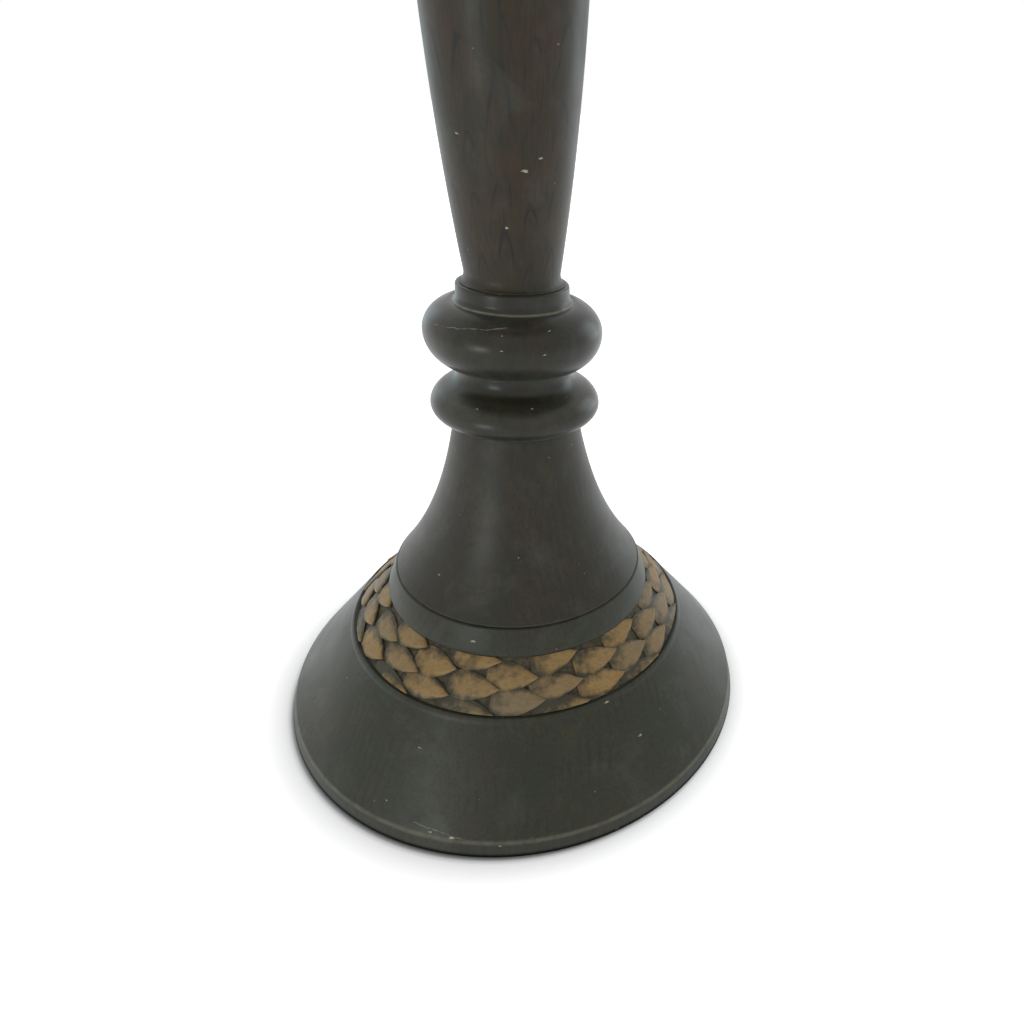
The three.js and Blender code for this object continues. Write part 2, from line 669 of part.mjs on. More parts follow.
// Outside of the glass, or its inside when the wall is taken off: a neck that widens into a sphere.
function glassProfile(inset) {
  const radius = BULB_RADIUS - inset;
  const middle = bulbFoot + BULB_LENGTH - BULB_RADIUS;
  const neck = BULB_CAP_RADIUS - BULB_CAP_WALL - CLEARANCE - inset;
  const ball = arc(0, middle, radius, radius, -35, 90, 2 * RING_STEPS - 1);
  ball[ball.length - 1][0] = 0;
  return [
    [neck, capTop - GLASS_IN_CAP],
    [neck, capTop + 1],
    [(neck + ball[0][0]) / 2, (capTop + ball[0][1]) / 2 - 1],
    ...ball,
  ];
}

add('bulb_cap', bulbCapShape(), solder);
const glass = turned([...glassProfile(GLASS_WALL).reverse(), ...glassProfile(0)], METAL_SIDES);
add('bulb_glass', glass, pearlGlass);
const bulbInsulatorRadius = BULB_CAP_RADIUS - BULB_CAP_WALL - CLEARANCE;
const bulbInsulator = rod(bulbInsulatorRadius, capFoot, capFoot + BULB_INSULATOR_HEIGHT, METAL_SIDES);
add('bulb_insulator', bulbInsulator, blackGlass);
[['left', -1], ['right', 1]].forEach(([side, sign]) => {
  const contact = rod(BULB_CONTACT.radius, capFoot - BULB_CONTACT.height, capFoot);
  add(`bulb_contact_${side}`, contact.translate(sign * CONTACT_OFFSET, 0, 0), solder);
});

// Shade and the ring that holds it
const coverRise = new THREE.Vector2(SHADE_TOP_RADIUS - SHADE_BOTTOM_RADIUS, SHADE_HEIGHT);
const slantFactor = coverRise.length() / SHADE_HEIGHT;

// Radius of the cover's outside at a height above the table.
function coverRadius(height) {
  return SHADE_BOTTOM_RADIUS + (coverRise.x * (height - shadeFoot)) / SHADE_HEIGHT;
}

function coneBand(insideGap, thickness, from, to) {
  const inner = insideGap * slantFactor;
  const outer = (insideGap + thickness) * slantFactor;
  return turned([
    [coverRadius(from) + inner, from],
    [coverRadius(from) + outer, from],
    [coverRadius(to) + outer, to],
    [coverRadius(to) + inner, to],
  ], SHADE_SIDES);
}

function wireRing(height) {
  const middle = coverRadius(height + WIRE_RADIUS) - (COVER_THICKNESS + CLEARANCE + WIRE_RADIUS) * slantFactor;
  return { radius: middle, geometry: new THREE.TorusGeometry(middle, WIRE_RADIUS, 6, SHADE_SIDES) };
}

function shadeRingShape() {
  const outline = new THREE.Shape();
  const teeth = METAL_SIDES;
  for (let i = 0; i < teeth; i++) {
    const angle = (i * 2 * Math.PI) / teeth;
    const radius = i % 2 === 0 ? SHADE_RING.radius : SHADE_RING.radius - 0.8;
    const point = [radius * Math.cos(angle), radius * Math.sin(angle)];
    if (i === 0) {
      outline.moveTo(...point);
    } else {
      outline.lineTo(...point);
    }
  }
  outline.closePath();
  outline.holes.push(new THREE.Path().absarc(0, 0, SKIRT_RADIUS + CLEARANCE, 0, 2 * Math.PI, true));
  const settings = { depth: SHADE_RING.height, bevelEnabled: false, curveSegments: SMALL_SIDES };
  return new THREE.ExtrudeGeometry(outline, settings).translate(0, 0, fitterTop + CLEARANCE);
}

// The fitter's arms run level from its plate and then slope down to the lower ring.
function gimbalShape() {
  const plate = tube(SKIRT_RADIUS + CLEARANCE, fitterRadius, fitterFoot, fitterTop, METAL_SIDES);
  const ringHeight = shadeFoot + 2 * WIRE_RADIUS;
  const ring = wireRing(ringHeight);
  const level = (fitterFoot + fitterTop) / 2;
  const section = new THREE.Shape().absarc(0, 0, WIRE_RADIUS * 0.85, 0, 2 * Math.PI);
  const arms = [];
  for (let i = 0; i < ARM_COUNT; i++) {
    const path = new THREE.CatmullRomCurve3([
      new THREE.Vector3(fitterRadius - 1, 0, level),
      new THREE.Vector3(fitterRadius + ARM_LEVEL_RUN / 2, 0, level),
      new THREE.Vector3(fitterRadius + ARM_LEVEL_RUN, 0, level - 1),
      new THREE.Vector3(ring.radius, 0, ringHeight),
    ], false, 'centripetal');
    const arm = new THREE.ExtrudeGeometry(section, { steps: 7, extrudePath: path, curveSegments: 3 });
    const turn = THREE.MathUtils.degToRad(ARM_FIRST + (360 * i) / ARM_COUNT);
    arms.push(arm.rotateZ(turn));
  }
  return joined(plate, ring.geometry.translate(0, 0, ringHeight), ...arms);
}

add('shade_ring', shadeRingShape(), brownPlastic);
add('shade_gimbal', gimbalShape(), wire);
const topRingHeight = shadeTop - 2 * WIRE_RADIUS;
add('shade_top_ring', wireRing(topRingHeight).geometry.translate(0, 0, topRingHeight), wire);
add('shade_cover', coneBand(-COVER_THICKNESS, COVER_THICKNESS, shadeFoot, shadeTop), shadeCloth);
const bottomTrim = coneBand(CLEARANCE, TRIM_THICKNESS, shadeFoot, shadeFoot + TRIM_HEIGHT);
add('shade_bottom_trim', bottomTrim, shadeBinding);
const topTrim = coneBand(CLEARANCE, TRIM_THICKNESS, shadeTop - TRIM_HEIGHT, shadeTop);
add('shade_top_trim', topTrim, shadeBinding);

export default lamp;
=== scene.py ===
"""Table lamp with a turned and carved base: its looks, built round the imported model, in metres, +Z up."""
import math
import random
from functools import partial

import bmesh
import bpy
from bmesh.types import BMEdge, BMVert
from mathutils import Matrix, Vector, noise
from mathutils.geometry import interpolate_bezier


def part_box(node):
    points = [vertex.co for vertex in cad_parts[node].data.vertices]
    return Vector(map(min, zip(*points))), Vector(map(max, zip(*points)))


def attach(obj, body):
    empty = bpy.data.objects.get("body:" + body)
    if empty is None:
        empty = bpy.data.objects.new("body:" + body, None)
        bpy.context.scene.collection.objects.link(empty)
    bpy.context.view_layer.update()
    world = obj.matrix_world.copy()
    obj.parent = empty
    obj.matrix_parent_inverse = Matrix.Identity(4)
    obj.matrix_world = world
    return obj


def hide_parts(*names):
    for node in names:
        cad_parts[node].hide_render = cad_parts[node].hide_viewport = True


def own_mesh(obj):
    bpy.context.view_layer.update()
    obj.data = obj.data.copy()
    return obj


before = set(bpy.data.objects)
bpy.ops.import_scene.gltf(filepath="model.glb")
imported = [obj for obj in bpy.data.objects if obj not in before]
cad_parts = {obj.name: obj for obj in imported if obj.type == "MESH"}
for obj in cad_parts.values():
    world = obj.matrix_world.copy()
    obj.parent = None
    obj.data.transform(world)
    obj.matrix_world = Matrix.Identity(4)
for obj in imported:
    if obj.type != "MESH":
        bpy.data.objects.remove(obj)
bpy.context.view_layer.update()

MM = 0.001
ROUND = 192
ROUND_METAL = 96
FULL_TURN = 2 * math.pi


# Camera: the photograph looks down on the foot, a little turned and rolled, its lens axis right of centre
FOOT_RADIUS = 90
PAD_THICKNESS = 1.5
IMAGE_SIZE = 1024
SENSOR_WIDTH = 36
FOCAL_PIXELS = 687.3
LENS_AXIS_PIXEL = (660, 517)
CAMERA_BACK = 2.493 * FOOT_RADIUS
CAMERA_UP = 2.394 * FOOT_RADIUS
CAMERA_PITCH = math.radians(31.81)
CAMERA_YAW = math.radians(13.58)
CAMERA_ROLL = math.radians(5.53)


def make_camera():
    data = bpy.data.cameras.new("camera")
    camera = bpy.data.objects.new("camera", data)
    bpy.context.scene.collection.objects.link(camera)
    bpy.context.scene.camera = camera
    data.sensor_width = SENSOR_WIDTH
    data.lens = SENSOR_WIDTH * FOCAL_PIXELS / IMAGE_SIZE
    data.shift_x = 0.5 - LENS_AXIS_PIXEL[0] / IMAGE_SIZE
    data.shift_y = LENS_AXIS_PIXEL[1] / IMAGE_SIZE - 0.5
    data.clip_start = 0.01
    place = Matrix.Translation(Vector((0, -CAMERA_BACK, CAMERA_UP + PAD_THICKNESS)) * MM)
    yaw = Matrix.Rotation(-CAMERA_YAW, 4, "Z")
    pitch = Matrix.Rotation(math.pi / 2 - CAMERA_PITCH, 4, "X")
    camera.matrix_world = place @ yaw @ pitch @ Matrix.Rotation(CAMERA_ROLL, 4, "Z")


make_camera()


# Mesh helpers
CREASE = math.radians(35)


def crease(bm):
    """Smooth faces, apart from the edges that turn more than CREASE."""
    for face in bm.faces:
        face.smooth = True
    for edge in bm.edges:
        edge.smooth = len(edge.link_faces) == 2 and edge.calc_face_angle() < CREASE


def finished(name, bm, *materials):
    """Turns closed shapes in a bmesh into an object at the origin, with their faces outward."""
    bmesh.ops.recalc_face_normals(bm, faces=bm.faces)
    crease(bm)
    mesh = bpy.data.meshes.new(name)
    bm.to_mesh(mesh)
    bm.free()
    piece = bpy.data.objects.new(name, mesh)
    bpy.context.scene.collection.objects.link(piece)
    for material in materials:
        mesh.materials.append(material)
    return piece


def opened(piece, *cutters):
    """Cuts openings in a piece, each the shape of a bmesh, and leaves them in its mesh."""
    shapes = [finished("cutter", cutter) for cutter in cutters]
    for shape in shapes:
        cut = piece.modifiers.new("opening", "BOOLEAN")
        cut.operation = "DIFFERENCE"
        cut.solver = "EXACT"
        cut.object = shape
    uncut = piece.data
    depsgraph = bpy.context.evaluated_depsgraph_get()
    piece.data = bpy.data.meshes.new_from_object(piece.evaluated_get(depsgraph))
    piece.data.name = uncut.name
    piece.modifiers.clear()
    bpy.data.meshes.remove(uncut)
    for shape in shapes:
        bpy.data.meshes.remove(shape.data)
    bm = bmesh.new()
    bm.from_mesh(piece.data)
    crease(bm)
    bm.to_mesh(piece.data)
    bm.free()
    return piece


def joined(*shapes):
    """One bmesh that holds several closed shapes."""
    whole = bmesh.new()
    for shape in shapes:
        carrier = bpy.data.meshes.new("carrier")
        shape.to_mesh(carrier)
        shape.free()
        whole.from_mesh(carrier)
        bpy.data.meshes.remove(carrier)
    return whole


def softened(profile, steps=4):
    """Rounds a profile's corners: each point is (radius, height) or (radius, height, fillet), in mm."""
    points = []
    for i, corner in enumerate(profile):
        here = Vector(corner[:2])
        if len(corner) < 3:
            points.append(here)
            continue
        before = Vector(profile[i - 1][:2]) - here
        after = Vector(profile[(i + 1) % len(profile)][:2]) - here
        start = here + before.normalized() * corner[2]
        end = here + after.normalized() * corner[2]
        for k in range(steps + 1):
            t = k / steps
            points.append(start * (1 - t) ** 2 + here * 2 * t * (1 - t) + end * t ** 2)
    return points


def arc(centre, height, across, rise, start, end, steps):
    """Points (radius, height) on an elliptical arc, in mm, from one angle to another in degrees."""
    points = []
    for k in range(steps + 1):
        angle = math.radians(start + (end - start) * k / steps)
        points.append((centre + across * math.cos(angle), height + rise * math.sin(angle)))
    return points


def turned(profile, sides=ROUND, closed=True, place=None):
    """Spins a profile in mm about Z. A closed one makes a ring, an open one starts and ends on the axis."""
    bm = bmesh.new()
    verts = [bm.verts.new((p[0] * MM, 0, p[1] * MM)) for p in softened(profile)]
    pairs = list(zip(verts, verts[1:]))
    if closed:
        pairs.append((verts[-1], verts[0]))
    edges = [bm.edges.new(pair) for pair in pairs]
    bmesh.ops.spin(
        bm, geom=verts + edges, cent=(0, 0, 0), axis=(0, 0, 1), angle=FULL_TURN, steps=sides,
        use_merge=True,
    )
    bmesh.ops.remove_doubles(bm, verts=bm.verts, dist=1e-7)
    if place is not None:
        bmesh.ops.transform(bm, matrix=place, verts=bm.verts)
    return bm


def slab(outline, depth):
    """A flat shape in the XZ plane, given by its corners in mm, from one Y to another."""
    bm = bmesh.new()
    face = bm.faces.new([bm.verts.new((x * MM, depth[0] * MM, z * MM)) for x, z in outline])
    grown = bmesh.ops.extrude_face_region(bm, geom=[face])["geom"]
    moved = [item for item in grown if isinstance(item, BMVert)]
    bmesh.ops.translate(bm, verts=moved, vec=(0, (depth[1] - depth[0]) * MM, 0))
    return bm


def block(low, high):
    """A plain block from one corner (x, y, z) to the other, in mm."""
    outline = [(low[0], low[2]), (high[0], low[2]), (high[0], high[2]), (low[0], high[2])]
    return slab(outline, (low[1], high[1]))


def along_y(place, side=1):
    """The matrix that lays a shape turned about Z along Y (or -Y), from a place in mm."""
    return Matrix.Translation([part * MM for part in place]) @ Matrix.Rotation(-side * math.pi / 2, 4, "X")


def wire(points, radius, sides=14):
    """A closed round wire along points in mm."""
    bm = bmesh.new()
    places = [Vector(point) * MM for point in points]
    loops = []
    for i, place in enumerate(places):
        along = places[min(i + 1, len(places) - 1)] - places[max(i - 1, 0)]
        aim = Matrix.Translation(place) @ along.to_track_quat("Z", "Y").to_matrix().to_4x4()
        ring = bmesh.ops.create_circle(bm, segments=sides, radius=radius * MM, matrix=aim)["verts"]
        loops.append(list({edge for vert in ring for edge in vert.link_edges}))
    for low, high in zip(loops, loops[1:]):
        bmesh.ops.bridge_loops(bm, edges=low + high)
    for end in (loops[0], loops[-1]):
        bmesh.ops.edgeloop_fill(bm, edges=end)
    return bm


def hexagonal(bm, across_flats):
    """Cuts a turned blank's outside down to six flats, with its chamfers left on the corners."""
    for vert in bm.verts:
        x, y, _ = vert.co
        off_flat = (math.atan2(y, x) + math.pi / 6) % (math.pi / 3) - math.pi / 6
        limit = across_flats / 2 * MM / math.cos(off_flat)
        radius = math.hypot(x, y)
        if radius > limit:
            vert.co.xy *= limit / radius
    return bm


def fluted(bm, beyond, count, depth):
    """Sinks shallow flutes in the outside of a turned shape, past a radius in mm."""
    for vert in bm.verts:
        radius = vert.co.xy.length
        if radius > beyond * MM:
            wave = 0.5 - 0.5 * math.cos(count * math.atan2(vert.co.y, vert.co.x))
            vert.co.xy *= 1 - depth * MM * wave / radius
    return bm


def lay_cloth(bm, radius, slope):
    """Gives cloth on a cone a UV map in millimetres: round it from the front, and up its slope."""
    layer = bm.loops.layers.uv.new("cloth")
    for face in bm.faces:
        middle = face.calc_center_median()
        facing = math.atan2(middle.x, -middle.y)
        for loop in face.loops:
            x, y, z = loop.vert.co
            turn = (math.atan2(x, -y) - facing + math.pi) % FULL_TURN - math.pi
            loop[layer].uv = ((facing + turn) * radius, z / MM * slope)
    return bm


# Material helpers
FACTOR, FIRST, SECOND, BLENDED = 0, 6, 7, 2


def linear(hex_colour):
    """sRGB hex such as 8a6b45 as a linear colour."""
    parts = [int(hex_colour[i:i + 2], 16) / 255 for i in (0, 2, 4)]
    return tuple(c / 12.92 if c <= 0.04045 else ((c + 0.055) / 1.055) ** 2.4 for c in parts) + (1,)


def connect(node, settings):
    """Sets a node's properties and inputs, and links those whose value is another node's output."""
    for key, value in settings.items():
        if isinstance(value, bpy.types.NodeSocket):
            node.id_data.links.new(value, node.inputs[key])
        elif isinstance(key, str) and key in node.bl_rna.properties:
            setattr(node, key, value)
        else:
            node.inputs[key].default_value = value


def add_node(tree, kind, settings, out=0):
    """Adds a node, set and linked, and gives one of its outputs. "Math ADD" is a kind and its operation."""
    kind, *operation = kind.split()
    node = tree.nodes.new("ShaderNode" + kind)
    if operation:
        node.operation = operation[0]
    connect(node, settings)
    return node.outputs[out]


def new_material(name):
    """A material, what adds nodes to it, and its object's coordinates in millimetres."""
    material = bpy.data.materials.new(name)
    material.use_nodes = True
    add = partial(add_node, material.node_tree)
    place = add("TexCoord", {}, "Object")
    return material, add, add("VectorMath SCALE", {0: place, "Scale": 1 / MM})


def surfaced(material, settings, relief=None):
    """Gives a material its settings and its relief, which is (height, depth in mm, strength)."""
    tree = material.node_tree
    if relief:
        height, depth, strength = relief
        bump = {"Height": height, "Distance": depth * MM, "Strength": strength}
        settings["Normal"] = add_node(tree, "Bump", bump)
    connect(tree.nodes["Principled BSDF"], settings)
    return material


def mottled(
    add, where, lump, low, high, most=1.0, stretch=(1, 1, 1), shift=(0, 0, 0), detail=3, rough=0.6, swirl=0,
):
    """Cloudy patches with lumps about so many mm across, from 0 to most between two levels of the noise."""
    place = add("Mapping", {"Vector": where, "Location": shift, "Scale": stretch})
    cloud = add("TexNoise", {
        "Vector": place, "Scale": 1 / lump, "Detail": detail, "Roughness": rough, "Distortion": swirl,
    })
    return add("MapRange", {"Value": cloud, "From Min": low, "From Max": high, "To Max": most})


def painted(add, ground, *coats):
    """A ground under thin coats: each coat's colour and how much of it shows. Colours are hex or outputs."""
    for coat, shown in coats:
        first, second = (linear(part) if isinstance(part, str) else part for part in (ground, coat))
        ground = add("Mix", {"data_type": "RGBA", FACTOR: shown, FIRST: first, SECOND: second}, BLENDED)
    return ground


def off_axis(add, where):
    """How far a place is from the Z axis."""
    flat = add("VectorMath MULTIPLY", {0: where, 1: (1, 1, 0)})
    return add("VectorMath LENGTH", {0: flat}, "Value")


def round_axis(add, where):
    """A place's turn round the Z axis, in radians, and its height."""
    across = add("SeparateXYZ", {"Vector": where})
    turn = add("Math ARCTAN2", {0: across.node.outputs["Y"], 1: across})
    return turn, across.node.outputs["Z"]


CHIP_FLATTEN = (0.6, 0.6, 1.5)
CHIP_RAGGED = 1.8


def chipped(add, where, spots):
    """Small ragged chips, wider than tall: each is (turn in degrees, radius, height, size), in mm."""
    ragged = add("TexNoise", {"Vector": where, "Scale": 1.1, "Detail": 5, "Roughness": 0.75}, "Color")
    flat = add("VectorMath MULTIPLY", {0: where, 1: CHIP_FLATTEN})
    jagged = add("VectorMath MULTIPLY_ADD", {0: ragged, 1: [CHIP_RAGGED] * 3, 2: flat})
    shown = None
    for turn, radius, height, size in spots:
        angle = math.radians(turn)
        place = (radius * math.cos(angle), radius * math.sin(angle), height)
        spot = [part * flatten + CHIP_RAGGED / 2 for part, flatten in zip(place, CHIP_FLATTEN)]
        gap = add("VectorMath DISTANCE", {0: jagged, 1: spot}, "Value")
        level = add("MapRange", {"Value": gap, "From Min": size, "From Max": size * 0.5})
        shown = level if shown is None else add("Math MAXIMUM", {0: shown, 1: level})
    return shown


def specked(add, where):
    """Pinhead nicks through the stain, a few on each palm's breadth."""
    off_nick = add("TexVoronoi", {"Vector": where, "Scale": 1 / 7.5}, "Distance")
    return add("MapRange", {"Value": off_nick, "From Min": 0.042, "From Max": 0.022})


def scratched(add, where, scratch):
    """A fine scratch round a turning, from one turn in degrees and height in mm to another."""
    first_turn, first_height, last_turn, last_height = scratch
    wander = 2
    noisy = add("TexNoise", {"Vector": where, "Scale": 0.16, "Detail": 2})
    turn, height = round_axis(add, where)
    share = add("MapRange", {
        "Value": turn, "From Min": math.radians(first_turn), "From Max": math.radians(last_turn),
        "clamp": False,
    })
    level = add("MapRange", {
        "Value": share, "To Min": first_height - wander / 2, "To Max": last_height - wander / 2,
        "clamp": False,
    })
    level = add("Math MULTIPLY_ADD", {0: noisy, 1: wander, 2: level})
    above = add("Math SUBTRACT", {0: height, 1: level})
    off_line = add("Math ABSOLUTE", {0: above})
    broken = mottled(add, where, 2, 0.38, 0.55, detail=4)
    line = add("MapRange", {"Value": off_line, "From Min": 0.17, "From Max": 0.03, "To Max": broken})
    within = add("Math COMPARE", {0: share, 1: 0.5, 2: 0.5})
    return add("Math MULTIPLY", {0: line, 1: within})


# Heights and radii in mm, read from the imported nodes
def span(node):
    low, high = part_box(node)
    return low.z / MM, high.z / MM


def reach(node):
    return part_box(node)[1].x / MM


foot_base, foot_top = span("foot")
bell_top = span("bell")[1]
collar_top = span("knop")[1]
shaft_top = span("shaft")[1]
wood_top = span("shaft_cap")[1]
shaft_foot = collar_top - 1
BORE = 5.3
SOCKET_GAP = 0.3


# Wood
FEATHER_COLUMNS = 14
FEATHER_FIRST = -97
FEATHER_DROP = 92
FEATHER_SPACING = 18
FEATHER_SWAY = 0.3


def feathered(add, where):
    """The figure of crotch timber: columns of short dark strokes like arrowheads with rounded points, each
    column at its own height, fading at the ends, and only in patches."""
    swayed = add("TexNoise", {"Vector": where, "Scale": 1 / 13, "Detail": 1}, "Color")
    sway = add("SeparateXYZ", {"Vector": swayed})
    turn, up = round_axis(add, where)
    first = -FEATHER_FIRST / 360 * FEATHER_COLUMNS - FEATHER_SWAY / 2
    column = add("Math MULTIPLY_ADD", {0: turn, 1: FEATHER_COLUMNS / FULL_TURN, 2: first})
    column = add("Math MULTIPLY_ADD", {0: sway, 1: FEATHER_SWAY, 2: column})
    aside = add("Math PINGPONG", {0: column, 1: 0.5})
    droop = add("Math POWER", {0: aside, 1: 2})
    height = add("Math MULTIPLY_ADD", {0: droop, 1: FEATHER_DROP, 2: up})
    own_column = add("Math ROUND", {0: column})
    start = add("TexWhiteNoise", {"noise_dimensions": "1D", "W": own_column})
    height = add("Math MULTIPLY_ADD", {0: start, 1: FEATHER_SPACING, 2: height})
    height = add("Math MULTIPLY_ADD", {0: sway.node.outputs["Y"], 1: 14, 2: height})
    row = add("Math DIVIDE", {0: height, 1: FEATHER_SPACING})
    off_line = add("Math PINGPONG", {0: row, 1: 0.5})
    breadth = add("Math MULTIPLY_ADD", {0: aside, 1: 2.2, 2: 0.3})
    thinned = add("Math DIVIDE", {0: off_line, 1: breadth})
    broken = mottled(add, where, 9, 0.4, 0.56, stretch=(1, 1, 0.6), shift=(5, 9, 2))
    ended = add("MapRange", {"Value": aside, "From Min": 0.4, "From Max": 0.27, "To Max": broken})
    return add("MapRange", {"Value": thinned, "From Min": 0.24, "From Max": 0.07, "To Max": ended})


def ringed(add, where):
    """Growth rings cut at a slant, which show on a turning as soft dark lines."""
    swayed = add("TexNoise", {"Vector": where, "Scale": 1 / 24, "Detail": 2}, "Color")
    bent = add("VectorMath MULTIPLY_ADD", {0: swayed, 1: (9, 9, 9), 2: where})
    leant = add("Mapping", {"Vector": bent, "Location": (30, 70, 0), "Rotation": (0.13, 0, 0)})
    row = add("Math DIVIDE", {0: off_axis(add, leant), 1: 3.1})
    off_line = add("Math PINGPONG", {0: row, 1: 0.5})
    broken = mottled(add, where, 16, 0.45, 0.68, most=0.5, shift=(5, 9, 2))
    return add("MapRange", {"Value": off_line, "From Min": 0.3, "From Max": 0.04, "To Max": broken})


def stained_hardwood(name, stain, figure, spots, rubbed, scratch, painted_shadow_edge=None):
    """Hardwood stained near black and waxed: olive brown with redder patches and dark grain, satin under a
    thin cool film, with pale chips, a scratch and places rubbed paler. The stain is (ground, cloud, share
    of red, smoothness), and a rubbed place (radius, height, reach, share), in mm. A painted shadow edge is
    black and dull up to the first of two heights in mm, and clear from the second: a painted shadow where
    the piece meets what it stands on."""
    material, add, where = new_material(name)
    ground, cloud, red, smooth = stain
    strokes = figure(add, where)
    height = add("SeparateXYZ", {"Vector": where}, "Z")
    section = add("CombineXYZ", {"X": off_axis(add, where), "Y": height})
    worn = []
    for spot_radius, spot_height, breadth, share in rubbed:
        off_spot = add("VectorMath DISTANCE", {0: section, 1: (spot_radius, spot_height, 0)}, "Value")
        wear = mottled(add, where, 4, 0.16, 0.54, most=share, shift=(11, 2, 0), detail=4)
        near = {"Value": off_spot, "From Min": breadth, "From Max": breadth * 0.2, "To Max": wear}
        worn.append(("807e6b", add("MapRange", near)))
    tool_marks = mottled(add, where, 1.2, 0, 1, stretch=(0.02, 0.02, 1), detail=1)
    relief = add("Math MULTIPLY_ADD", {0: strokes, 1: -0.2, 2: tool_marks})
    gloss = mottled(add, where, 18, 0.25, 0.75, detail=4)
    colour = painted(
        add,
        ground,
        (cloud, mottled(add, where, 26, 0.36, 0.66, stretch=(1, 1, 0.5), shift=(40, 0, 10))),
        ("3d2718", mottled(add, where, 9, 0.5, 0.72, most=red, stretch=(1, 1, 0.6), shift=(7, 70, 3))),
        ("37361d", mottled(add, where, 8, 0.54, 0.7, most=0.45, stretch=(1, 1, 0.6), shift=(60, 20, 9))),
        ("130f09", strokes),
        ("100e0b", mottled(add, where, 0.8, 0.52, 0.36, most=0.4, stretch=(1, 1, 0.06), shift=(0, 3, 0))),
        ("747a75", mottled(
            add, where, 16, 0.5, 0.76, most=0.13, shift=(0, 30, 60), detail=6, rough=0.66, swirl=0.4,
        )),
        *worn,
        ("6d6e66", scratched(add, where, scratch)),
        ("807c6c", specked(add, where)),
        ("b0a892", chipped(add, where, spots)),
    )
    settings = {
        "Roughness": add("MapRange", {"Value": gloss, "To Min": smooth, "To Max": smooth + 0.14}),
        "IOR": 1.37,
        "Sheen Weight": 0.1,
        "Sheen Roughness": 0.5,
        "Sheen Tint": linear("d2e4ea"),
    }
    # Painted shadow: the lowest edge is painted black and its reflection turned down, as the shade where the
    # foot meets the table.
    if painted_shadow_edge:
        clean = add("MapRange", {"Value": height, "From Min": painted_shadow_edge[0], "From Max": painted_shadow_edge[1]})
        grime_and_shade = add("Math SUBTRACT", {0: 1, 1: clean})
        colour = painted(add, colour, ("0a0908", grime_and_shade))
        settings["Specular IOR Level"] = add("Math MULTIPLY", {0: clean, 1: 0.5})
    return surfaced(material, {"Base Color": colour, **settings}, relief=(relief, 0.05, 0.35))


def rubbed_leaf(name):
    """Carved leaves: dark stain rubbed back to a dull gold on the high parts, with dirt in patches. The dark
    left at their low roots, sides and edges is both stain and painted shade under the leaves.
    """
    material, add, where = new_material(name)
    rise = add("Attribute", {"attribute_name": "rise"}, "Fac")
    pick = add("Attribute", {"attribute_name": "pick"}, "Fac")
    grime_and_shade = mottled(add, where, 3.8, 0, 1, shift=(3, 8, 1), detail=5, rough=0.6)
    # A low rise keeps the dark: stain in the hollows, and painted shade at the leaves' edges and skirts.
    lifted = add("Math MULTIPLY_ADD", {0: grime_and_shade, 1: 1.25, 2: rise})
    bare = add("MapRange", {"Value": lifted, "From Min": 0.6, "From Max": 1.02})
    golden = painted(
        add,
        "92703b",
        ("a0814c", mottled(add, where, 5, 0.3, 0.7)),
        ("7c6b4e", pick),
        ("64543a", mottled(add, where, 0.7, 0.4, 0.6, most=0.3, stretch=(0.25, 1, 1))),
    )
    film = mottled(add, where, 2.6, 0.54, 0.78, most=0.45, shift=(30, 1, 1), detail=5, rough=0.66)
    return surfaced(material, {
        "Base Color": painted(add, "353120", (golden, bare), ("4c4a38", film)),
        "Roughness": add("MapRange", {"Value": grime_and_shade, "To Min": 0.42, "To Max": 0.62}),
        "IOR": 1.4,
        "Sheen Weight": 0.1,
        "Sheen Roughness": 0.5,
        "Sheen Tint": linear("d5e6ea"),
    }, relief=(mottled(add, where, 0.9, 0, 1, detail=4, rough=0.65), 0.12, 0.5))


def tooled_ground(name):
    """The ground between the leaves: never sanded, so it is dark, uneven and full of old polish."""
    material, add, where = new_material(name)
    polish = mottled(add, where, 2.2, 0.4, 0.7, detail=5, rough=0.7)
    return surfaced(material, {
        "Base Color": painted(add, "282417", ("5a5038", polish)),
        "Roughness": 0.62,
        "IOR": 1.4,
    }, relief=(mottled(add, where, 1.3, 0, 1, detail=4, rough=0.7), 0.25, 0.7))


def wool_baize(name):
    """Thin napped wool: dark, no gloss, a faint halo of fibre. The nap is drawn coarser than it is."""
    material, add, where = new_material(name)
    nap = mottled(add, where, 0.5, 0, 1, detail=4, rough=0.7)
    return surfaced(material, {
        "Base Color": painted(add, "141310", ("2a2823", nap)),
        "Roughness": 0.95,
        "Sheen Weight": 0.2,
    }, relief=(nap, 0.2, 0.6))


# Metal, mouldings and glass
def plated(name, clean, tarnished, smooth, dull, grain, stretch=(1, 1, 1)):
    """Bare or plated metal: a clean colour, tarnished in soft patches, with fine marks of its making."""
    material, add, where = new_material(name)
    tarnish = mottled(add, where, 9, 0.38, 0.66, detail=5, rough=0.65)
    return surfaced(material, {
        "Base Color": painted(add, clean, (tarnished, tarnish)),
        "Metallic": 1.0,
        "Roughness": add("MapRange", {"Value": tarnish, "To Min": smooth, "To Max": dull}),
    }, relief=(mottled(add, where, grain, 0, 1, stretch=stretch), 0.02, 0.5))


def moulded(name, colour, mottle, lump, smooth, index):
    """A moulded or glazed skin: one body colour, faintly clouded, over the slight ripple of its mould."""
    material, add, where = new_material(name)
    scuffs = mottled(add, where, 7, 0.4, 0.7, detail=4)
    return surfaced(material, {
        "Base Color": painted(add, colour, (mottle, mottled(add, where, lump, 0.35, 0.7, detail=4))),
        "Roughness": add("MapRange", {"Value": scuffs, "To Min": smooth, "To Max": smooth + 0.14}),
        "IOR": index,
    }, relief=(mottled(add, where, 3, 0, 1), 0.02, 0.4))


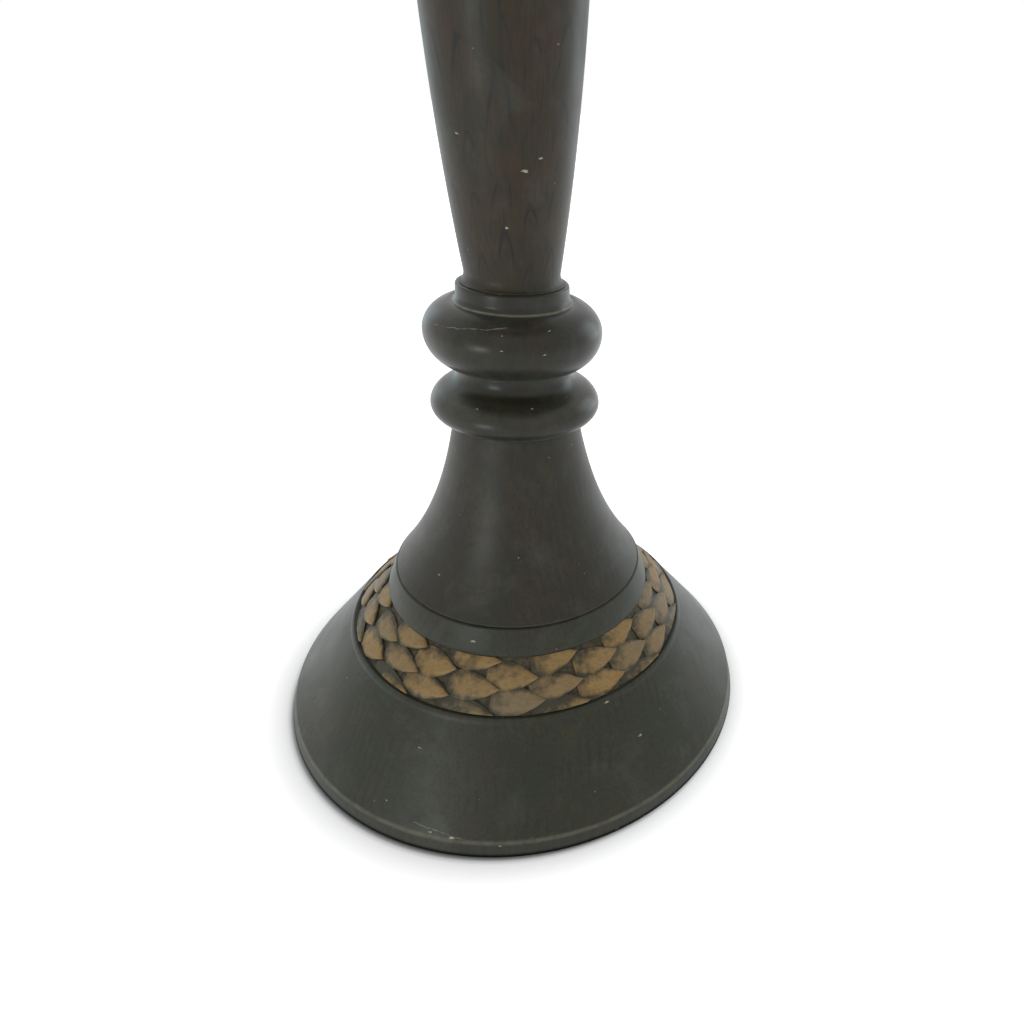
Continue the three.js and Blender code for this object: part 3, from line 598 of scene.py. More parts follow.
def pearl_glass(name):
    """Glass etched inside to a pearl white: a clear gloss over a soft milky body."""
    material, add, where = new_material(name)
    return surfaced(material, {
        "Base Color": painted(add, "eae8e0", ("f4f2ec", mottled(add, where, 14, 0.3, 0.7, detail=2))),
        "Roughness": 0.24,
        "IOR": 1.5,
        "Coat Weight": 0.6,
        "Coat Roughness": 0.06,
    })


def plain_weave(name, light, dark, thread, lap=None):
    """Woven linen, matt with slubs both ways, its threads drawn about twice as thick as they are. A lap is
    where the cloth's end, at this many mm round, lies over its start."""
    material, add, _ = new_material(name)
    cloth = add("UVMap", {"uv_map": "cloth"})
    slubs = {
        "X": mottled(add, cloth, 7, 0.36, 0.64, stretch=(1, 0.06, 1), shift=(31, 7, 0), detail=4),
        "Y": mottled(add, cloth, 7, 0.36, 0.64, stretch=(0.06, 1, 1), detail=4),
    }
    waves = {}
    for side, slub in slubs.items():
        along = add("SeparateXYZ", {"Vector": cloth}, side)
        phase = add("Math MULTIPLY_ADD", {0: along, 1: math.pi / thread, 2: slub})
        waves[side] = add("Math SINE", {0: phase})
    crossing = add("Math MULTIPLY", {0: waves["X"], 1: waves["Y"]})
    thickness = add("Math ADD", {0: slubs["X"], 1: slubs["Y"]})
    relief = add("Math MULTIPLY_ADD", {0: crossing, 1: 0.5, 2: thickness})
    if lap is not None:
        round_it = add("SeparateXYZ", {"Vector": cloth}, "X")
        step = add("MapRange", {"Value": round_it, "From Min": lap - 0.4, "From Max": lap, "To Max": 6})
        relief = add("Math ADD", {0: relief, 1: step})
    slubby = add("MapRange", {"Value": thickness, "From Max": 2, "To Max": 0.7})
    pits = add("MapRange", {"Value": crossing, "From Min": 1, "From Max": -1, "To Max": 0.25})
    return surfaced(material, {
        "Base Color": painted(add, light, (dark, slubby), (dark, pits)),
        "Roughness": 0.88,
        "Sheen Weight": 0.15,
    }, relief=(relief, 0.12, 0.6))


FOOT_CHIPS = [
    (-111.1, 87.4, 7.9, 0.4), (-106.2, 87.8, 7.5, 0.55), (-96.1, 88.6, 5.9, 0.35),
    (-71, 89.8, 2.4, 0.45), (-58.2, 74.6, 23.1, 0.55), (-118.8, 71.8, 26.4, 0.3),
    (-123, 84.2, 11.7, 0.35), (-110.6, 47.5, 55.1, 0.6), (-64.8, 64.3, 35.5, 0.6), (20, 79.9, 17, 0.5),
    (74, 88.4, 6.8, 0.6), (151, 66.6, 33, 0.5),
]
BELL_CHIPS = [(-136, 38.3, 70, 0.3), (-60, 30, 82, 0.3), (35, 27.2, 92, 0.5), (120, 40, 67, 0.4)]
KNOP_CHIPS = [
    (-103.7, 15.6, 162.4, 0.5), (-97.4, 28.2, 149.6, 0.25), (-72.4, 28.3, 148.4, 0.25),
    (-67, 25.3, 154.3, 0.25), (-118.6, 24.4, 128.9, 0.25), (-78.5, 23.3, 129.6, 0.28),
    (-34.9, 18.8, 157.4, 0.3), (60, 28.3, 147, 0.5),
]
SHAFT_CHIPS = [
    (-77.5, 18.6, 195.5, 0.62), (-93.9, 16.8, 180.9, 0.5), (-132.5, 19.3, 202.9, 0.42),
    (-64.1, 18.9, 198.8, 0.4), (-53.1, 21.1, 224.2, 0.25), (-48.2, 18.3, 192.6, 0.25),
    (10, 22.5, 285, 0.55), (140, 22.6, 260, 0.6),
]
CAP_CHIPS = [(-80, 19.5, 397, 0.4), (-140, 18, 424, 0.5), (60, 18, 419, 0.4)]
# The foot's lowest edge, up to 2.2 to 3.2 mm, carries a painted contact shadow.
foot_wood = stained_hardwood(
    "stained_foot", ("232717", "2d2d1d", 0.2, 0.36), ringed, FOOT_CHIPS, [(88.4, 6.8, 1.1, 0.36)],
    (-115, 9.2, -103.5, 7.4), painted_shadow_edge=(2.2, 3.2),
)
bell_wood = stained_hardwood(
    "stained_bell", ("232114", "2c261a", 0.3, 0.36), ringed, BELL_CHIPS, [(45.4, 60.6, 0.6, 0.2)],
    (118, 82, 152, 76),
)
knop_wood = stained_hardwood(
    "stained_knop", ("1f1f13", "272417", 0.3, 0.25), ringed, KNOP_CHIPS,
    [(18.6, 157, 0.6, 0.72), (26.6, bell_top + 10.6, 7, 0.09)], (-150, 152.6, -95, 155.2),
)
shaft_wood = stained_hardwood(
    "stained_shaft", ("262110", "302615", 0.6, 0.36), feathered, SHAFT_CHIPS, [(16.3, 162.7, 0.6, 0.12)],
    (40, 300, 66, 311),
)
cap_wood = stained_hardwood(
    "stained_cap", ("211e12", "2a2417", 0.3, 0.36), ringed, CAP_CHIPS, [(18, 424.6, 0.9, 0.5)],
    (-60, 419, -30, 421),
)
leaf_wood = rubbed_leaf("rubbed_leaf")
ground_wood = tooled_ground("tooled_ground")
pad_baize = wool_baize("wool_baize")
zinc_steel = plated("zinc_plated_steel", "a7a9aa", "77787a", 0.32, 0.5, 0.5)
aged_brass = plated("aged_spun_brass", "b08a48", "7a5c2e", 0.24, 0.44, 0.4, (0.05, 0.05, 1))
spring_wire = plated("drawn_spring_wire", "aaabac", "8b8c8e", 0.3, 0.5, 0.4, (1, 1, 0.1))
tinned_brass = plated("tinned_brass", "a9aaa8", "83847f", 0.3, 0.5, 0.5)
phenolic = moulded("moulded_phenolic", "23130b", "3a2013", 5, 0.24, 1.6)
porcelain = moulded("glazed_porcelain", "d8d3c6", "e3dfd4", 12, 0.2, 1.5)
cap_glass = moulded("fused_glass_insulator", "101013", "19191d", 4, 0.14, 1.52)
pearl = pearl_glass("etched_pearl_glass")
coated_wire = moulded("dipped_white_wire", "cfccc3", "dbd9d1", 6, 0.36, 1.5)


# Spigots that join one turning to the next: the radius and length of each
FOOT_SPIGOT = (15, 14)
KNOP_SPIGOT = (11, 12)
SHAFT_SPIGOT = (10, 13)
CAP_SPIGOT = (9, 14)
SEAT_LIFT = 0.1


def peg(spigot, joint, seat):
    radius, length = spigot
    return [(BORE, joint - length), (radius, joint - length), (radius, seat)]


def socket(spigot, joint, rim):
    wide = spigot[0] + SOCKET_GAP
    floor = joint - (spigot[1] + SOCKET_GAP)
    return [(wide, rim), (wide, floor), (BORE, floor)]


# Foot: outline, recessed leaf band, hollow underneath, and a seat for the flex bush at the back
BAND_LOW = Vector((63.3, foot_base + 35.2))
BAND_TOP = Vector((48.9, foot_base + 50))
BAND_DEPTH = 1.3
BAND_LIP = 0.7
ON_GROUND = 0.2
FOOT_TOP_RADIUS = 45.5
RIM_TOP = Vector((FOOT_RADIUS - 1.6, foot_base + 5.3))
BUSH_SEAT = 77.7
BUSH_HEIGHT = foot_base + 12
BUSH_SHANK = 3.8
BUSH_HEAD = 5
HOLLOW_WALL = 66
HOLLOW_SHOULDER = foot_base + 15
HOLLOW_ROOF = foot_base + 26
HOLLOW_ROOF_RADIUS = 40
band_down = (BAND_LOW - BAND_TOP).normalized()
band_out = Vector((-band_down.y, band_down.x))
ground_top = BAND_TOP + band_down * BAND_LIP - band_out * BAND_DEPTH
ground_low = BAND_LOW - band_down * BAND_LIP - band_out * BAND_DEPTH
ground_width = (ground_low - ground_top).length
ground_radius = (ground_low.x + ground_top.x) / 2
skirt_down = (RIM_TOP - BAND_LOW).normalized()
skirt_out = Vector((-skirt_down.y, skirt_down.x))


def on_skirt(down, out, fillet):
    """A profile point on the foot's plain skirt, so far down from the band and proud of it, in mm."""
    place = BAND_LOW + skirt_down * down + skirt_out * out
    return place.x, place.y, fillet


def backward(start, end, radius):
    """A round cutter along +Y at the bush's height, in mm."""
    profile = [(0, start), (radius, start), (radius, end), (0, end)]
    return turned(profile, 48, closed=False, place=along_y((0, 0, BUSH_HEIGHT)))


def make_foot():
    ground = [tuple(ground_low.lerp(ground_top, k / 10)) for k in range(11)]
    bm = turned([
        (FOOT_RADIUS, foot_base, 0.5), (RIM_TOP.x, RIM_TOP.y, 0.9),
        on_skirt(2.2, 0, 0.4), on_skirt(1.2, 0.22, 0.4), on_skirt(0, 0.15, 0.35),
        *ground, (BAND_TOP.x + 0.4, BAND_TOP.y - 0.5, 0.2), (BAND_TOP.x + 0.3, BAND_TOP.y + 0.3, 0.6),
        (FOOT_TOP_RADIUS + 0.35, foot_top - 0.4, 0.15), (FOOT_TOP_RADIUS - 0.6, foot_top - 0.05),
        *socket(FOOT_SPIGOT, foot_top, foot_top - 0.05), (BORE, HOLLOW_ROOF),
        (HOLLOW_ROOF_RADIUS, HOLLOW_ROOF, 2), (HOLLOW_WALL, HOLLOW_SHOULDER, 2),
        (HOLLOW_WALL, foot_base, 0.6),
    ])
    piece = finished("foot_turning", bm, foot_wood, ground_wood)
    for face in piece.data.polygons:
        place = Vector((face.center.xy.length, face.center.z)) / MM
        above = (place - ground_low).dot(band_out)
        along = (place - ground_top).dot(band_down)
        if abs(above) < ON_GROUND and -ON_GROUND < along < ground_width + ON_GROUND:
            face.material_index = 1
    seat = backward(BUSH_SEAT, FOOT_RADIUS + 5, BUSH_HEAD + SOCKET_GAP)
    hole = backward(BUSH_SEAT - 30, BUSH_SEAT + 1, BUSH_SHANK + SOCKET_GAP)
    return opened(piece, seat, hole)


# Leaf band: overlapping pointed leaves in staggered rows, tips anticlockwise
LEAVES_ROUND = 12
LEAF_ROWS = (0.08, 0.33, 0.545, 0.76, 0.975)
FIRST_TIP = -84
LEAF_LENGTH = 17.6
LEAF_WIDTH = 9.7
LEAF_RISE = 1.95
LEAF_ROOT = 0.6
LEAF_CLEARANCE = 0.15
LEAF_GRID = (14, 12)
DIRTY_ROW = 1.6


def leaf_half_width(along):
    """Half a leaf's width as a share of its widest, from its rounded root (0) to its sharp tip (1)."""
    return max(math.sin(math.pi * (0.22 + 0.78 * along ** 0.86)), 0) ** 0.84


def shape_leaf(bm, rise_layer, pick_layer, down, chance):
    """Adds one leaf to the carving, flat: x along it, y down the band and z off the ground, in mm."""
    made = bmesh.ops.create_grid(bm, x_segments=LEAF_GRID[0], y_segments=LEAF_GRID[1], size=1)
    verts = made["verts"]
    length = LEAF_LENGTH * chance.uniform(0.95, 1.05)
    width = LEAF_WIDTH * chance.uniform(0.88, 1.08)
    bend = chance.uniform(-0.5, 0.9)
    lean = math.radians(chance.uniform(-3, 3))
    height = LEAF_RISE * chance.uniform(0.85, 1.1)
    pick = chance.random()
    seed = chance.uniform(0, 100)
    for vert in verts:
        along = (vert.co.x + 1) / 2
        across = vert.co.y
        half = width / 2 * leaf_half_width(along)
        x = length * (along - 1)
        y = across * half + bend * along ** 3 + x * math.tan(lean)
        dome = (1 - 0.42 * abs(across) ** 2.4) * (0.72 + 0.28 * across)
        wave = noise.noise(Vector((x * 0.35 + seed, y * 0.35, 0)))
        lift = height * (0.08 + 0.92 * along ** 0.7) * dome + 0.16 * wave
        hollow = 0.22 * math.exp(-(across / 0.22) ** 2) * along * (1 - along)
        vert.co = (x, y, lift - hollow)
        # The rise is the leaf's height, less a dark band at its edges that is painted shade; the lowest row
        # is kept darker.
        rubbed_with_edge_shade = lift / LEAF_RISE - 0.7 * abs(across) ** 6
        vert[rise_layer] = min(1, max(0, rubbed_with_edge_shade)) - DIRTY_ROW * max(0, down - 0.8)
        vert[pick_layer] = pick
    geom = verts + list({edge for vert in verts for edge in vert.link_edges})
    geom += list({face for vert in verts for face in vert.link_faces})
    limits = (LEAF_CLEARANCE - down * ground_width, (1 - down) * ground_width - LEAF_CLEARANCE)
    for limit, way in zip(limits, (-1, 1)):
        cut = bmesh.ops.bisect_plane(
            bm, geom=geom, plane_co=(0, limit, 0), plane_no=(0, way, 0), clear_outer=True,
        )
        geom = [item for item in cut["geom"] if item.is_valid]
    rim = [item for item in geom if isinstance(item, BMEdge) and item.is_boundary]
    grown = bmesh.ops.extrude_edge_only(bm, edges=rim)["geom"]
    skirt = [item for item in grown if isinstance(item, BMVert)]
    # The skirt down to the ground gets no rise, so it is painted dark as the shadow under each leaf's edge.
    for vert in skirt:
        vert.co.z = -LEAF_ROOT
        vert[rise_layer] = 0
    hem = [item for item in grown if isinstance(item, BMEdge) and item.is_boundary]
    bmesh.ops.edgeloop_fill(bm, edges=hem)
    return [item for item in geom if isinstance(item, BMVert)] + skirt


def onto_band(verts, tip_angle, down):
    for vert in verts:
        x, y, z = vert.co
        share = down + y / ground_width
        swell = 0.5 * math.sin(math.pi * min(max(share, 0), 1))
        place = ground_top.lerp(ground_low, share) + band_out * (z + swell * (z > 0))
        angle = tip_angle + x / ground_radius
        vert.co = Vector((place.x * math.cos(angle), place.x * math.sin(angle), place.y)) * MM


def make_leaves():
    chance = random.Random(12)
    bm = bmesh.new()
    rise_layer = bm.verts.layers.float.new("rise")
    pick_layer = bm.verts.layers.float.new("pick")
    pitch = 360 / LEAVES_ROUND
    for row, down in enumerate(LEAF_ROWS):
        stagger = pitch / 2 if row % 2 == 0 else 0
        for i in range(LEAVES_ROUND):
            tip = math.radians(FIRST_TIP + stagger + i * pitch + chance.uniform(-1.2, 1.2))
            onto_band(shape_leaf(bm, rise_layer, pick_layer, down, chance), tip, down)
    return finished("leaf_carving", bm, leaf_wood)


# The other turnings
BELL_LIMIT = 14
BELL_TOP_RADIUS = 21.1
SHAFT_FOOT_RADIUS = 14.1
SHAFT_FLARE_RADIUS = 16.3
SHAFT_FLARE_HEIGHT = 3
SHAFT_BELLY_RADIUS = 22.7
SHAFT_BELLY_HEIGHT = 109
SHAFT_TOP_RADIUS = 14.5
CAP_RADIUS = 18
PAD_RADIUS = 87
PAD_GAP = 0.02


def bell_radius(height):
    share = (BELL_TOP_RADIUS - BELL_LIMIT) / (FOOT_TOP_RADIUS - BELL_LIMIT)
    return BELL_LIMIT + (FOOT_TOP_RADIUS - BELL_LIMIT) * share ** (height / (bell_top - foot_top))


def make_bell():
    steps = 32
    start = 0.4
    height = bell_top - foot_top
    heights = [start + (height - start) * k / steps for k in range(steps)]
    return finished("bell_turning", turned([
        *peg(FOOT_SPIGOT, foot_top, foot_top), (FOOT_TOP_RADIUS - 0.6, foot_top),
        *[(bell_radius(up), foot_top + up) for up in heights],
        (BELL_TOP_RADIUS, bell_top - 0.15, 0.3), *socket(KNOP_SPIGOT, bell_top, bell_top - 0.15),
    ]), bell_wood)


def make_knop():
    low_ring = bell_top + 5.9
    neck = low_ring + 13.4
    high_ring = neck + 10.8
    line = high_ring + 9
    return finished("knop_turning", turned([
        *peg(KNOP_SPIGOT, bell_top, bell_top + SEAT_LIFT),
        *arc(18.4, low_ring, 9.6, 5.8, -80, 0, 14),
        *arc(18.4, low_ring, 9.6, 7.2, 0, 58, 10)[1:],
        (18.2, low_ring + 8.6, 3.6), (18.2, neck),
        *arc(17.2, high_ring, 11.2, 10.8, -85, 0, 18),
        *arc(17.2, high_ring, 11.2, 9.6, 0, 76, 15)[1:],
        (19.1, line + 0.2, 0.4), (18.7, line + 0.25, 0.15), (18.3, line + 0.7, 0.2),
        (17.7, line + 1.7, 0.6), (17.5, collar_top - 0.2, 0.8), (SHAFT_FOOT_RADIUS + 0.15, collar_top),
        (SHAFT_FOOT_RADIUS + 0.15, shaft_foot), *socket(SHAFT_SPIGOT, shaft_foot, shaft_foot),
    ]), knop_wood)


def shaft_radius(height):
    """The shaft swells as a parabola does up to its belly, and draws in above it to a slim top."""
    above = height - SHAFT_BELLY_HEIGHT
    if above < 0:
        drop = (SHAFT_BELLY_RADIUS - SHAFT_FOOT_RADIUS) * (above / SHAFT_BELLY_HEIGHT) ** 2
        return SHAFT_BELLY_RADIUS - drop
    turn = math.pi * above / (shaft_top - shaft_foot - SHAFT_BELLY_HEIGHT)
    return SHAFT_TOP_RADIUS + (SHAFT_BELLY_RADIUS - SHAFT_TOP_RADIUS) * (1 + math.cos(turn)) / 2


def make_shaft():
    steps = 48
    start = collar_top - shaft_foot + SHAFT_FLARE_HEIGHT
    heights = [start + (shaft_top - shaft_foot - start) * k / steps for k in range(steps + 1)]
    flare = arc(
        SHAFT_FLARE_RADIUS, shaft_foot + start, SHAFT_FLARE_RADIUS - shaft_radius(start),
        SHAFT_FLARE_HEIGHT - 0.2, -90, -180, 10,
    )
    return finished("shaft_turning", turned([
        *peg(SHAFT_SPIGOT, shaft_foot, shaft_foot + SEAT_LIFT), (SHAFT_FOOT_RADIUS, shaft_foot + SEAT_LIFT),
        (SHAFT_FOOT_RADIUS, collar_top + 0.05), (SHAFT_FLARE_RADIUS, collar_top + 0.05), *flare,
        *[(shaft_radius(up), shaft_foot + up) for up in heights[1:]],
        *socket(CAP_SPIGOT, shaft_top, shaft_top),
    ]), shaft_wood)


def make_cap():
    bead_top = shaft_top + 10
    return finished("cap_turning", turned([
        *peg(CAP_SPIGOT, shaft_top, shaft_top + SEAT_LIFT),
        *arc(13.5, shaft_top + 5, 6, 4.9, -88, 88, 20),
        *arc(CAP_RADIUS, bead_top, 4.5, 14, 178, 92, 14),
        (CAP_RADIUS, bead_top + 14, 0.15), (CAP_RADIUS, wood_top - 0.1, 0.8), (BORE, wood_top - 0.1),
    ]), cap_wood)


def make_pad():
    return finished("baize_pad", turned([
        (0, PAD_GAP), (PAD_RADIUS, PAD_GAP, 0.5), (PAD_RADIUS, PAD_THICKNESS - PAD_GAP, 0.3),
        (0, PAD_THICKNESS - PAD_GAP),
    ], closed=False), pad_baize)


# Fastenings and the flex bush
def make_bush():
    inner_end = HOLLOW_WALL - 2 - BUSH_SEAT
    return finished("flex_bush", turned([
        (2.7, inner_end, 0.3), (BUSH_SHANK, inner_end, 0.4), (BUSH_SHANK, SOCKET_GAP),
        (BUSH_HEAD, SOCKET_GAP, 0.3), (BUSH_HEAD, SOCKET_GAP + 2, 0.9), (2.7, SOCKET_GAP + 2, 0.8),
    ], ROUND_METAL, place=along_y((0, BUSH_SEAT, BUSH_HEIGHT))), phenolic)


def make_nut(name, node, across_flats, material):
    low, high = span(node)
    corner = across_flats / math.sqrt(3)
    chamfer = 0.14 * across_flats / 2
    blank = turned([
        (BORE, low, 0.3), (across_flats / 2 - 0.2, low), (corner - chamfer / 2, low + chamfer * 0.3),
        (corner, low + chamfer * 0.6), (corner, high - chamfer * 0.6),
        (corner - chamfer / 2, high - chamfer * 0.3), (across_flats / 2 - 0.2, high), (BORE, high, 0.3),
    ], ROUND_METAL)
    return finished(name, hexagonal(blank, across_flats), material)


def make_vase_cap():
    low, high = span("vase_cap")
    return finished("vase_cap_spinning", turned([
        (BORE, low), (reach("vase_cap"), low, 0.2), (reach("vase_cap"), low + 1, 0.45),
        (15.6, low + 1.6, 0.5), (12.75, low + 2.75, 2), (8.5, high, 0.3), (BORE, high),
    ], ROUND_METAL), aged_brass)


# Lampholder
HOLDER_ENTRY = 7.5
HOLDER_RADIUS = 16.5
HOLDER_WALL = 1.2
HOLDER_LEDGE = 14
ENTRY_HEIGHT = 7
SWITCH_HALF = (4.3, 2.3)
SKIRT_RADIUS = 14
SKIRT_BORE = 11.6
THREAD_PITCH = 1.5
THREAD_DEPTH = 0.55
SLOT_SIDE = 1.4
SLOT_TURN = 5
SPRING_WIRE = 0.3
SPRING_TURNS = 7
COIL_STEPS = 12


def make_holder_cap():
    low, high = span("holder_cap")
    roof = low + 9.3
    return finished("holder_cap_spinning", turned([
        (BORE, low, 0.2), (HOLDER_ENTRY, low, 0.4), (HOLDER_ENTRY, low + ENTRY_HEIGHT, 0.6),
        *arc(HOLDER_ENTRY, high, HOLDER_RADIUS - HOLDER_ENTRY, high - low - ENTRY_HEIGHT, -82, 0, 18),
        *arc(BORE, high, HOLDER_LEDGE - BORE, high - roof, 0, -86, 12),
        (BORE, roof),
    ], ROUND_METAL), aged_brass)


def make_holder_body():
    low, high = span("holder_body")
    inside = HOLDER_RADIUS - HOLDER_WALL
    middle = low + 12
    shell = turned([
        (inside, low), (HOLDER_RADIUS + 0.8, low, 0.3), (HOLDER_RADIUS + 0.8, low + 2.2, 0.4),
        (HOLDER_RADIUS, low + 2.6, 0.2), (HOLDER_RADIUS, high - 2.4, 0.2),
        (HOLDER_RADIUS + 0.35, high - 1.8, 0.3), (HOLDER_RADIUS + 0.35, high - 0.6, 0.3),
        (HOLDER_RADIUS, high), (inside, high),
    ], ROUND_METAL * 2)
    piece = finished("holder_body_shell", fluted(shell, HOLDER_RADIUS + 0.6, 48, 0.35), aged_brass)
    deep, tall = SWITCH_HALF
    past = HOLDER_RADIUS + 7.5
    return opened(piece, block((-past, -deep, middle - tall), (past, deep, middle + tall)))


def make_switch_bar():
    low, high = (Vector(corner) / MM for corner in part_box("switch_bar"))
    bm = block(low, high)
    upright = [edge for edge in bm.edges if abs(edge.verts[0].co.z - edge.verts[1].co.z) > MM]
    bmesh.ops.bevel(bm, geom=upright, offset=1.2 * MM, segments=6, profile=0.5, affect="EDGES", material=-1)
    rims = [edge for edge in bm.edges if len(edge.link_faces) == 2 and edge.calc_face_angle() > CREASE]
    bmesh.ops.bevel(bm, geom=rims, offset=0.45 * MM, segments=3, profile=0.5, affect="EDGES", material=-1)
    return finished("switch_push_bar", bm, phenolic)


def make_skirt():
    low, high = span("holder_skirt")
    threads = []
    height = low + 3.4
    while height + THREAD_PITCH < high - 1:
        crest = [(SKIRT_RADIUS, height + THREAD_PITCH * share) for share in (0.35, 0.6)]
        threads += [(SKIRT_RADIUS - THREAD_DEPTH, height), *crest]
        height += THREAD_PITCH
    shell = turned([
        (SKIRT_BORE, low), (reach("holder_skirt"), low, 0.3), (reach("holder_skirt"), low + 2, 0.4),
        (SKIRT_RADIUS - THREAD_DEPTH, low + 2), *threads, (SKIRT_RADIUS - THREAD_DEPTH, high, 0.3),
        (SKIRT_BORE, high, 0.3),
    ], ROUND_METAL)
    piece = finished("holder_skirt_turning", shell, aged_brass)
    pocket_low = high - 12.4
    pocket_top = high - 7.1
    leg_top = pocket_low + 2 * SLOT_SIDE
    outline = [
        (-SLOT_SIDE, pocket_low), (SLOT_TURN + SLOT_SIDE, pocket_low), (SLOT_TURN + SLOT_SIDE, high + 1),
        (SLOT_TURN - SLOT_SIDE, high + 1), (SLOT_TURN - SLOT_SIDE, leg_top), (SLOT_SIDE, leg_top),
        (SLOT_SIDE, pocket_top), (-SLOT_SIDE, pocket_top),
    ]
    front = slab(outline, (6, 16))
    back = slab(outline, (6, 16))
    bmesh.ops.rotate(back, verts=back.verts, cent=(0, 0, 0), matrix=Matrix.Rotation(math.pi, 3, "Z"))
    return opened(piece, front, back)


def make_spring(side):
    """The coil under a sprung contact, which shortens towards its foot as the contact goes down; here it
    is built at its rest length only.
    """
    first, last = (Vector(corner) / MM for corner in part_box(f"plunger_spring_{side}"))
    middle = (first + last) / 2
    radius = (last.x - first.x) / 2 - SPRING_WIRE
    low, high = first.z + SPRING_WIRE, last.z - SPRING_WIRE
    steps = SPRING_TURNS * COIL_STEPS
    points = []
    for k in range(steps + 1):
        turn = k * FULL_TURN / COIL_STEPS
        height = low + (high - low) * k / steps
        points.append((middle.x + radius * math.cos(turn), middle.y + radius * math.sin(turn), height))
    coil = finished(f"contact_spring_{side}", wire(points, SPRING_WIRE, 8), spring_wire)
    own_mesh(coil)
    return coil


# Bulb
BULB_CAP = (10.2, 11)
BULB_RADIUS = 30
GLASS_NECK = 9.9
GLASS_WALL = 1.2
GLASS_TURN = 38
PIN_RADIUS = 1.1


def make_bulb_cap():
    low, high = span("bulb_cap")
    inside, outside = BULB_CAP
    shell = turned([
        (inside, low, 0.2), (outside, low, 0.35), (outside, high - 3.2, 0.2),
        (outside - 0.35, high - 2.6, 0.3), (outside, high - 2.0, 0.2), (outside, high, 0.3),
        (inside, high),
    ], ROUND_METAL)
    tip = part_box("bulb_cap")[1].y / MM
    pins = []
    for side in (-1, 1):
        profile = [(0, inside + 0.4), (PIN_RADIUS, inside + 0.4), (PIN_RADIUS, tip, 0.5), (0, tip)]
        pins.append(turned(profile, 24, closed=False, place=along_y((0, 0, low + 5.8), side)))
    return finished("bulb_cap_shell", joined(shell, *pins), tinned_brass)


def glass_profile(inset):
    """The glass from its neck to its crown, or its inside when the wall is taken off."""
    low, high = span("bulb_glass")
    neck = GLASS_NECK - inset
    radius = BULB_RADIUS - inset
    ball = arc(0, high - BULB_RADIUS, radius, radius, -GLASS_TURN, 90, 36)
    ball[-1] = (0, ball[-1][1])
    foot = Vector((neck, low + 17))
    shoulder = Vector(ball[0])
    tangent = Vector((math.sin(math.radians(GLASS_TURN)), math.cos(math.radians(GLASS_TURN))))
    swell = interpolate_bezier(foot, foot + Vector((0, 13)), shoulder - tangent * 13, shoulder, 14)
    return [(neck, low), *[tuple(point) for point in swell[:-1]], *ball]


def make_glass():
    inner = glass_profile(GLASS_WALL)[::-1]
    return finished("bulb_envelope", turned([*inner, *glass_profile(0)], ROUND_METAL, closed=False), pearl)


# Shade and the ring that holds it
WIRE_RADIUS = 1.5
ARM_RADIUS = 1.275
ARM_LEVEL_RUN = 12
ARMS = (90, 210, 330)
COVER_WALL = 1.2
TRIM_WALL = 0.8
TRIM_GAP = 0.3
shade_low, shade_high = span("shade_cover")
SHADE_FOOT_RADIUS = 170
SHADE_TOP_RADIUS = 100
shade_rise = shade_high - shade_low
shade_slope = math.hypot(SHADE_FOOT_RADIUS - SHADE_TOP_RADIUS, shade_rise) / shade_rise
shade_mean_radius = (SHADE_FOOT_RADIUS + SHADE_TOP_RADIUS) / 2
linen = plain_weave("cream_linen_on_card", "e3d8bf", "cdbf9f", 0.9, lap=math.pi * shade_mean_radius - 9)
binding = plain_weave("folded_linen_binding", "d8c9a6", "c1af88", 0.7)


def make_shade_ring():
    low, high = span("shade_ring")
    radius = reach("shade_ring")
    blank = turned([
        (SKIRT_RADIUS + SOCKET_GAP, low, 0.3), (radius, low, 0.6), (radius, high, 1.1),
        (SKIRT_RADIUS + SOCKET_GAP, high, 0.3),
    ], ROUND)
    return finished("shade_ring_moulding", fluted(blank, radius - 1.2, 32, 0.7), phenolic)


def ring_of_wire(radius, height):
    return turned(arc(radius, height, WIRE_RADIUS, WIRE_RADIUS, 0, 360, 16)[:-1], ROUND)


def make_gimbal():
    low, plate_top = span("shade_gimbal")
    plate_low = plate_top - 1.5
    plate_radius = 22.5
    ring_radius = reach("shade_gimbal") - WIRE_RADIUS
    ring_height = low + WIRE_RADIUS
    level = (plate_low + plate_top) / 2
    bend = [
        (plate_radius - 1, level), (plate_radius + ARM_LEVEL_RUN * 0.7, level),
        (plate_radius + ARM_LEVEL_RUN, level - 0.4), (plate_radius + ARM_LEVEL_RUN * 1.3, level - 1.6),
        (ring_radius, ring_height),
    ]
    arms = []
    for angle in ARMS:
        x, y = math.cos(math.radians(angle)), math.sin(math.radians(angle))
        arms.append(wire([(x * radius, y * radius, height) for radius, height in bend], ARM_RADIUS))
    plate = turned([
        (SKIRT_RADIUS + SOCKET_GAP, plate_low, 0.2), (plate_radius, plate_low, 0.4),
        (plate_radius, plate_top, 0.4), (SKIRT_RADIUS + SOCKET_GAP, plate_top, 0.2),
    ], ROUND_METAL)
    ring = ring_of_wire(ring_radius, ring_height)
    return finished("gimbal_wirework", joined(plate, ring, *arms), coated_wire)


def make_top_ring():
    low = span("shade_top_ring")[0]
    ring = ring_of_wire(reach("shade_top_ring") - WIRE_RADIUS, low + WIRE_RADIUS)
    return finished("top_ring_wire", ring, coated_wire)


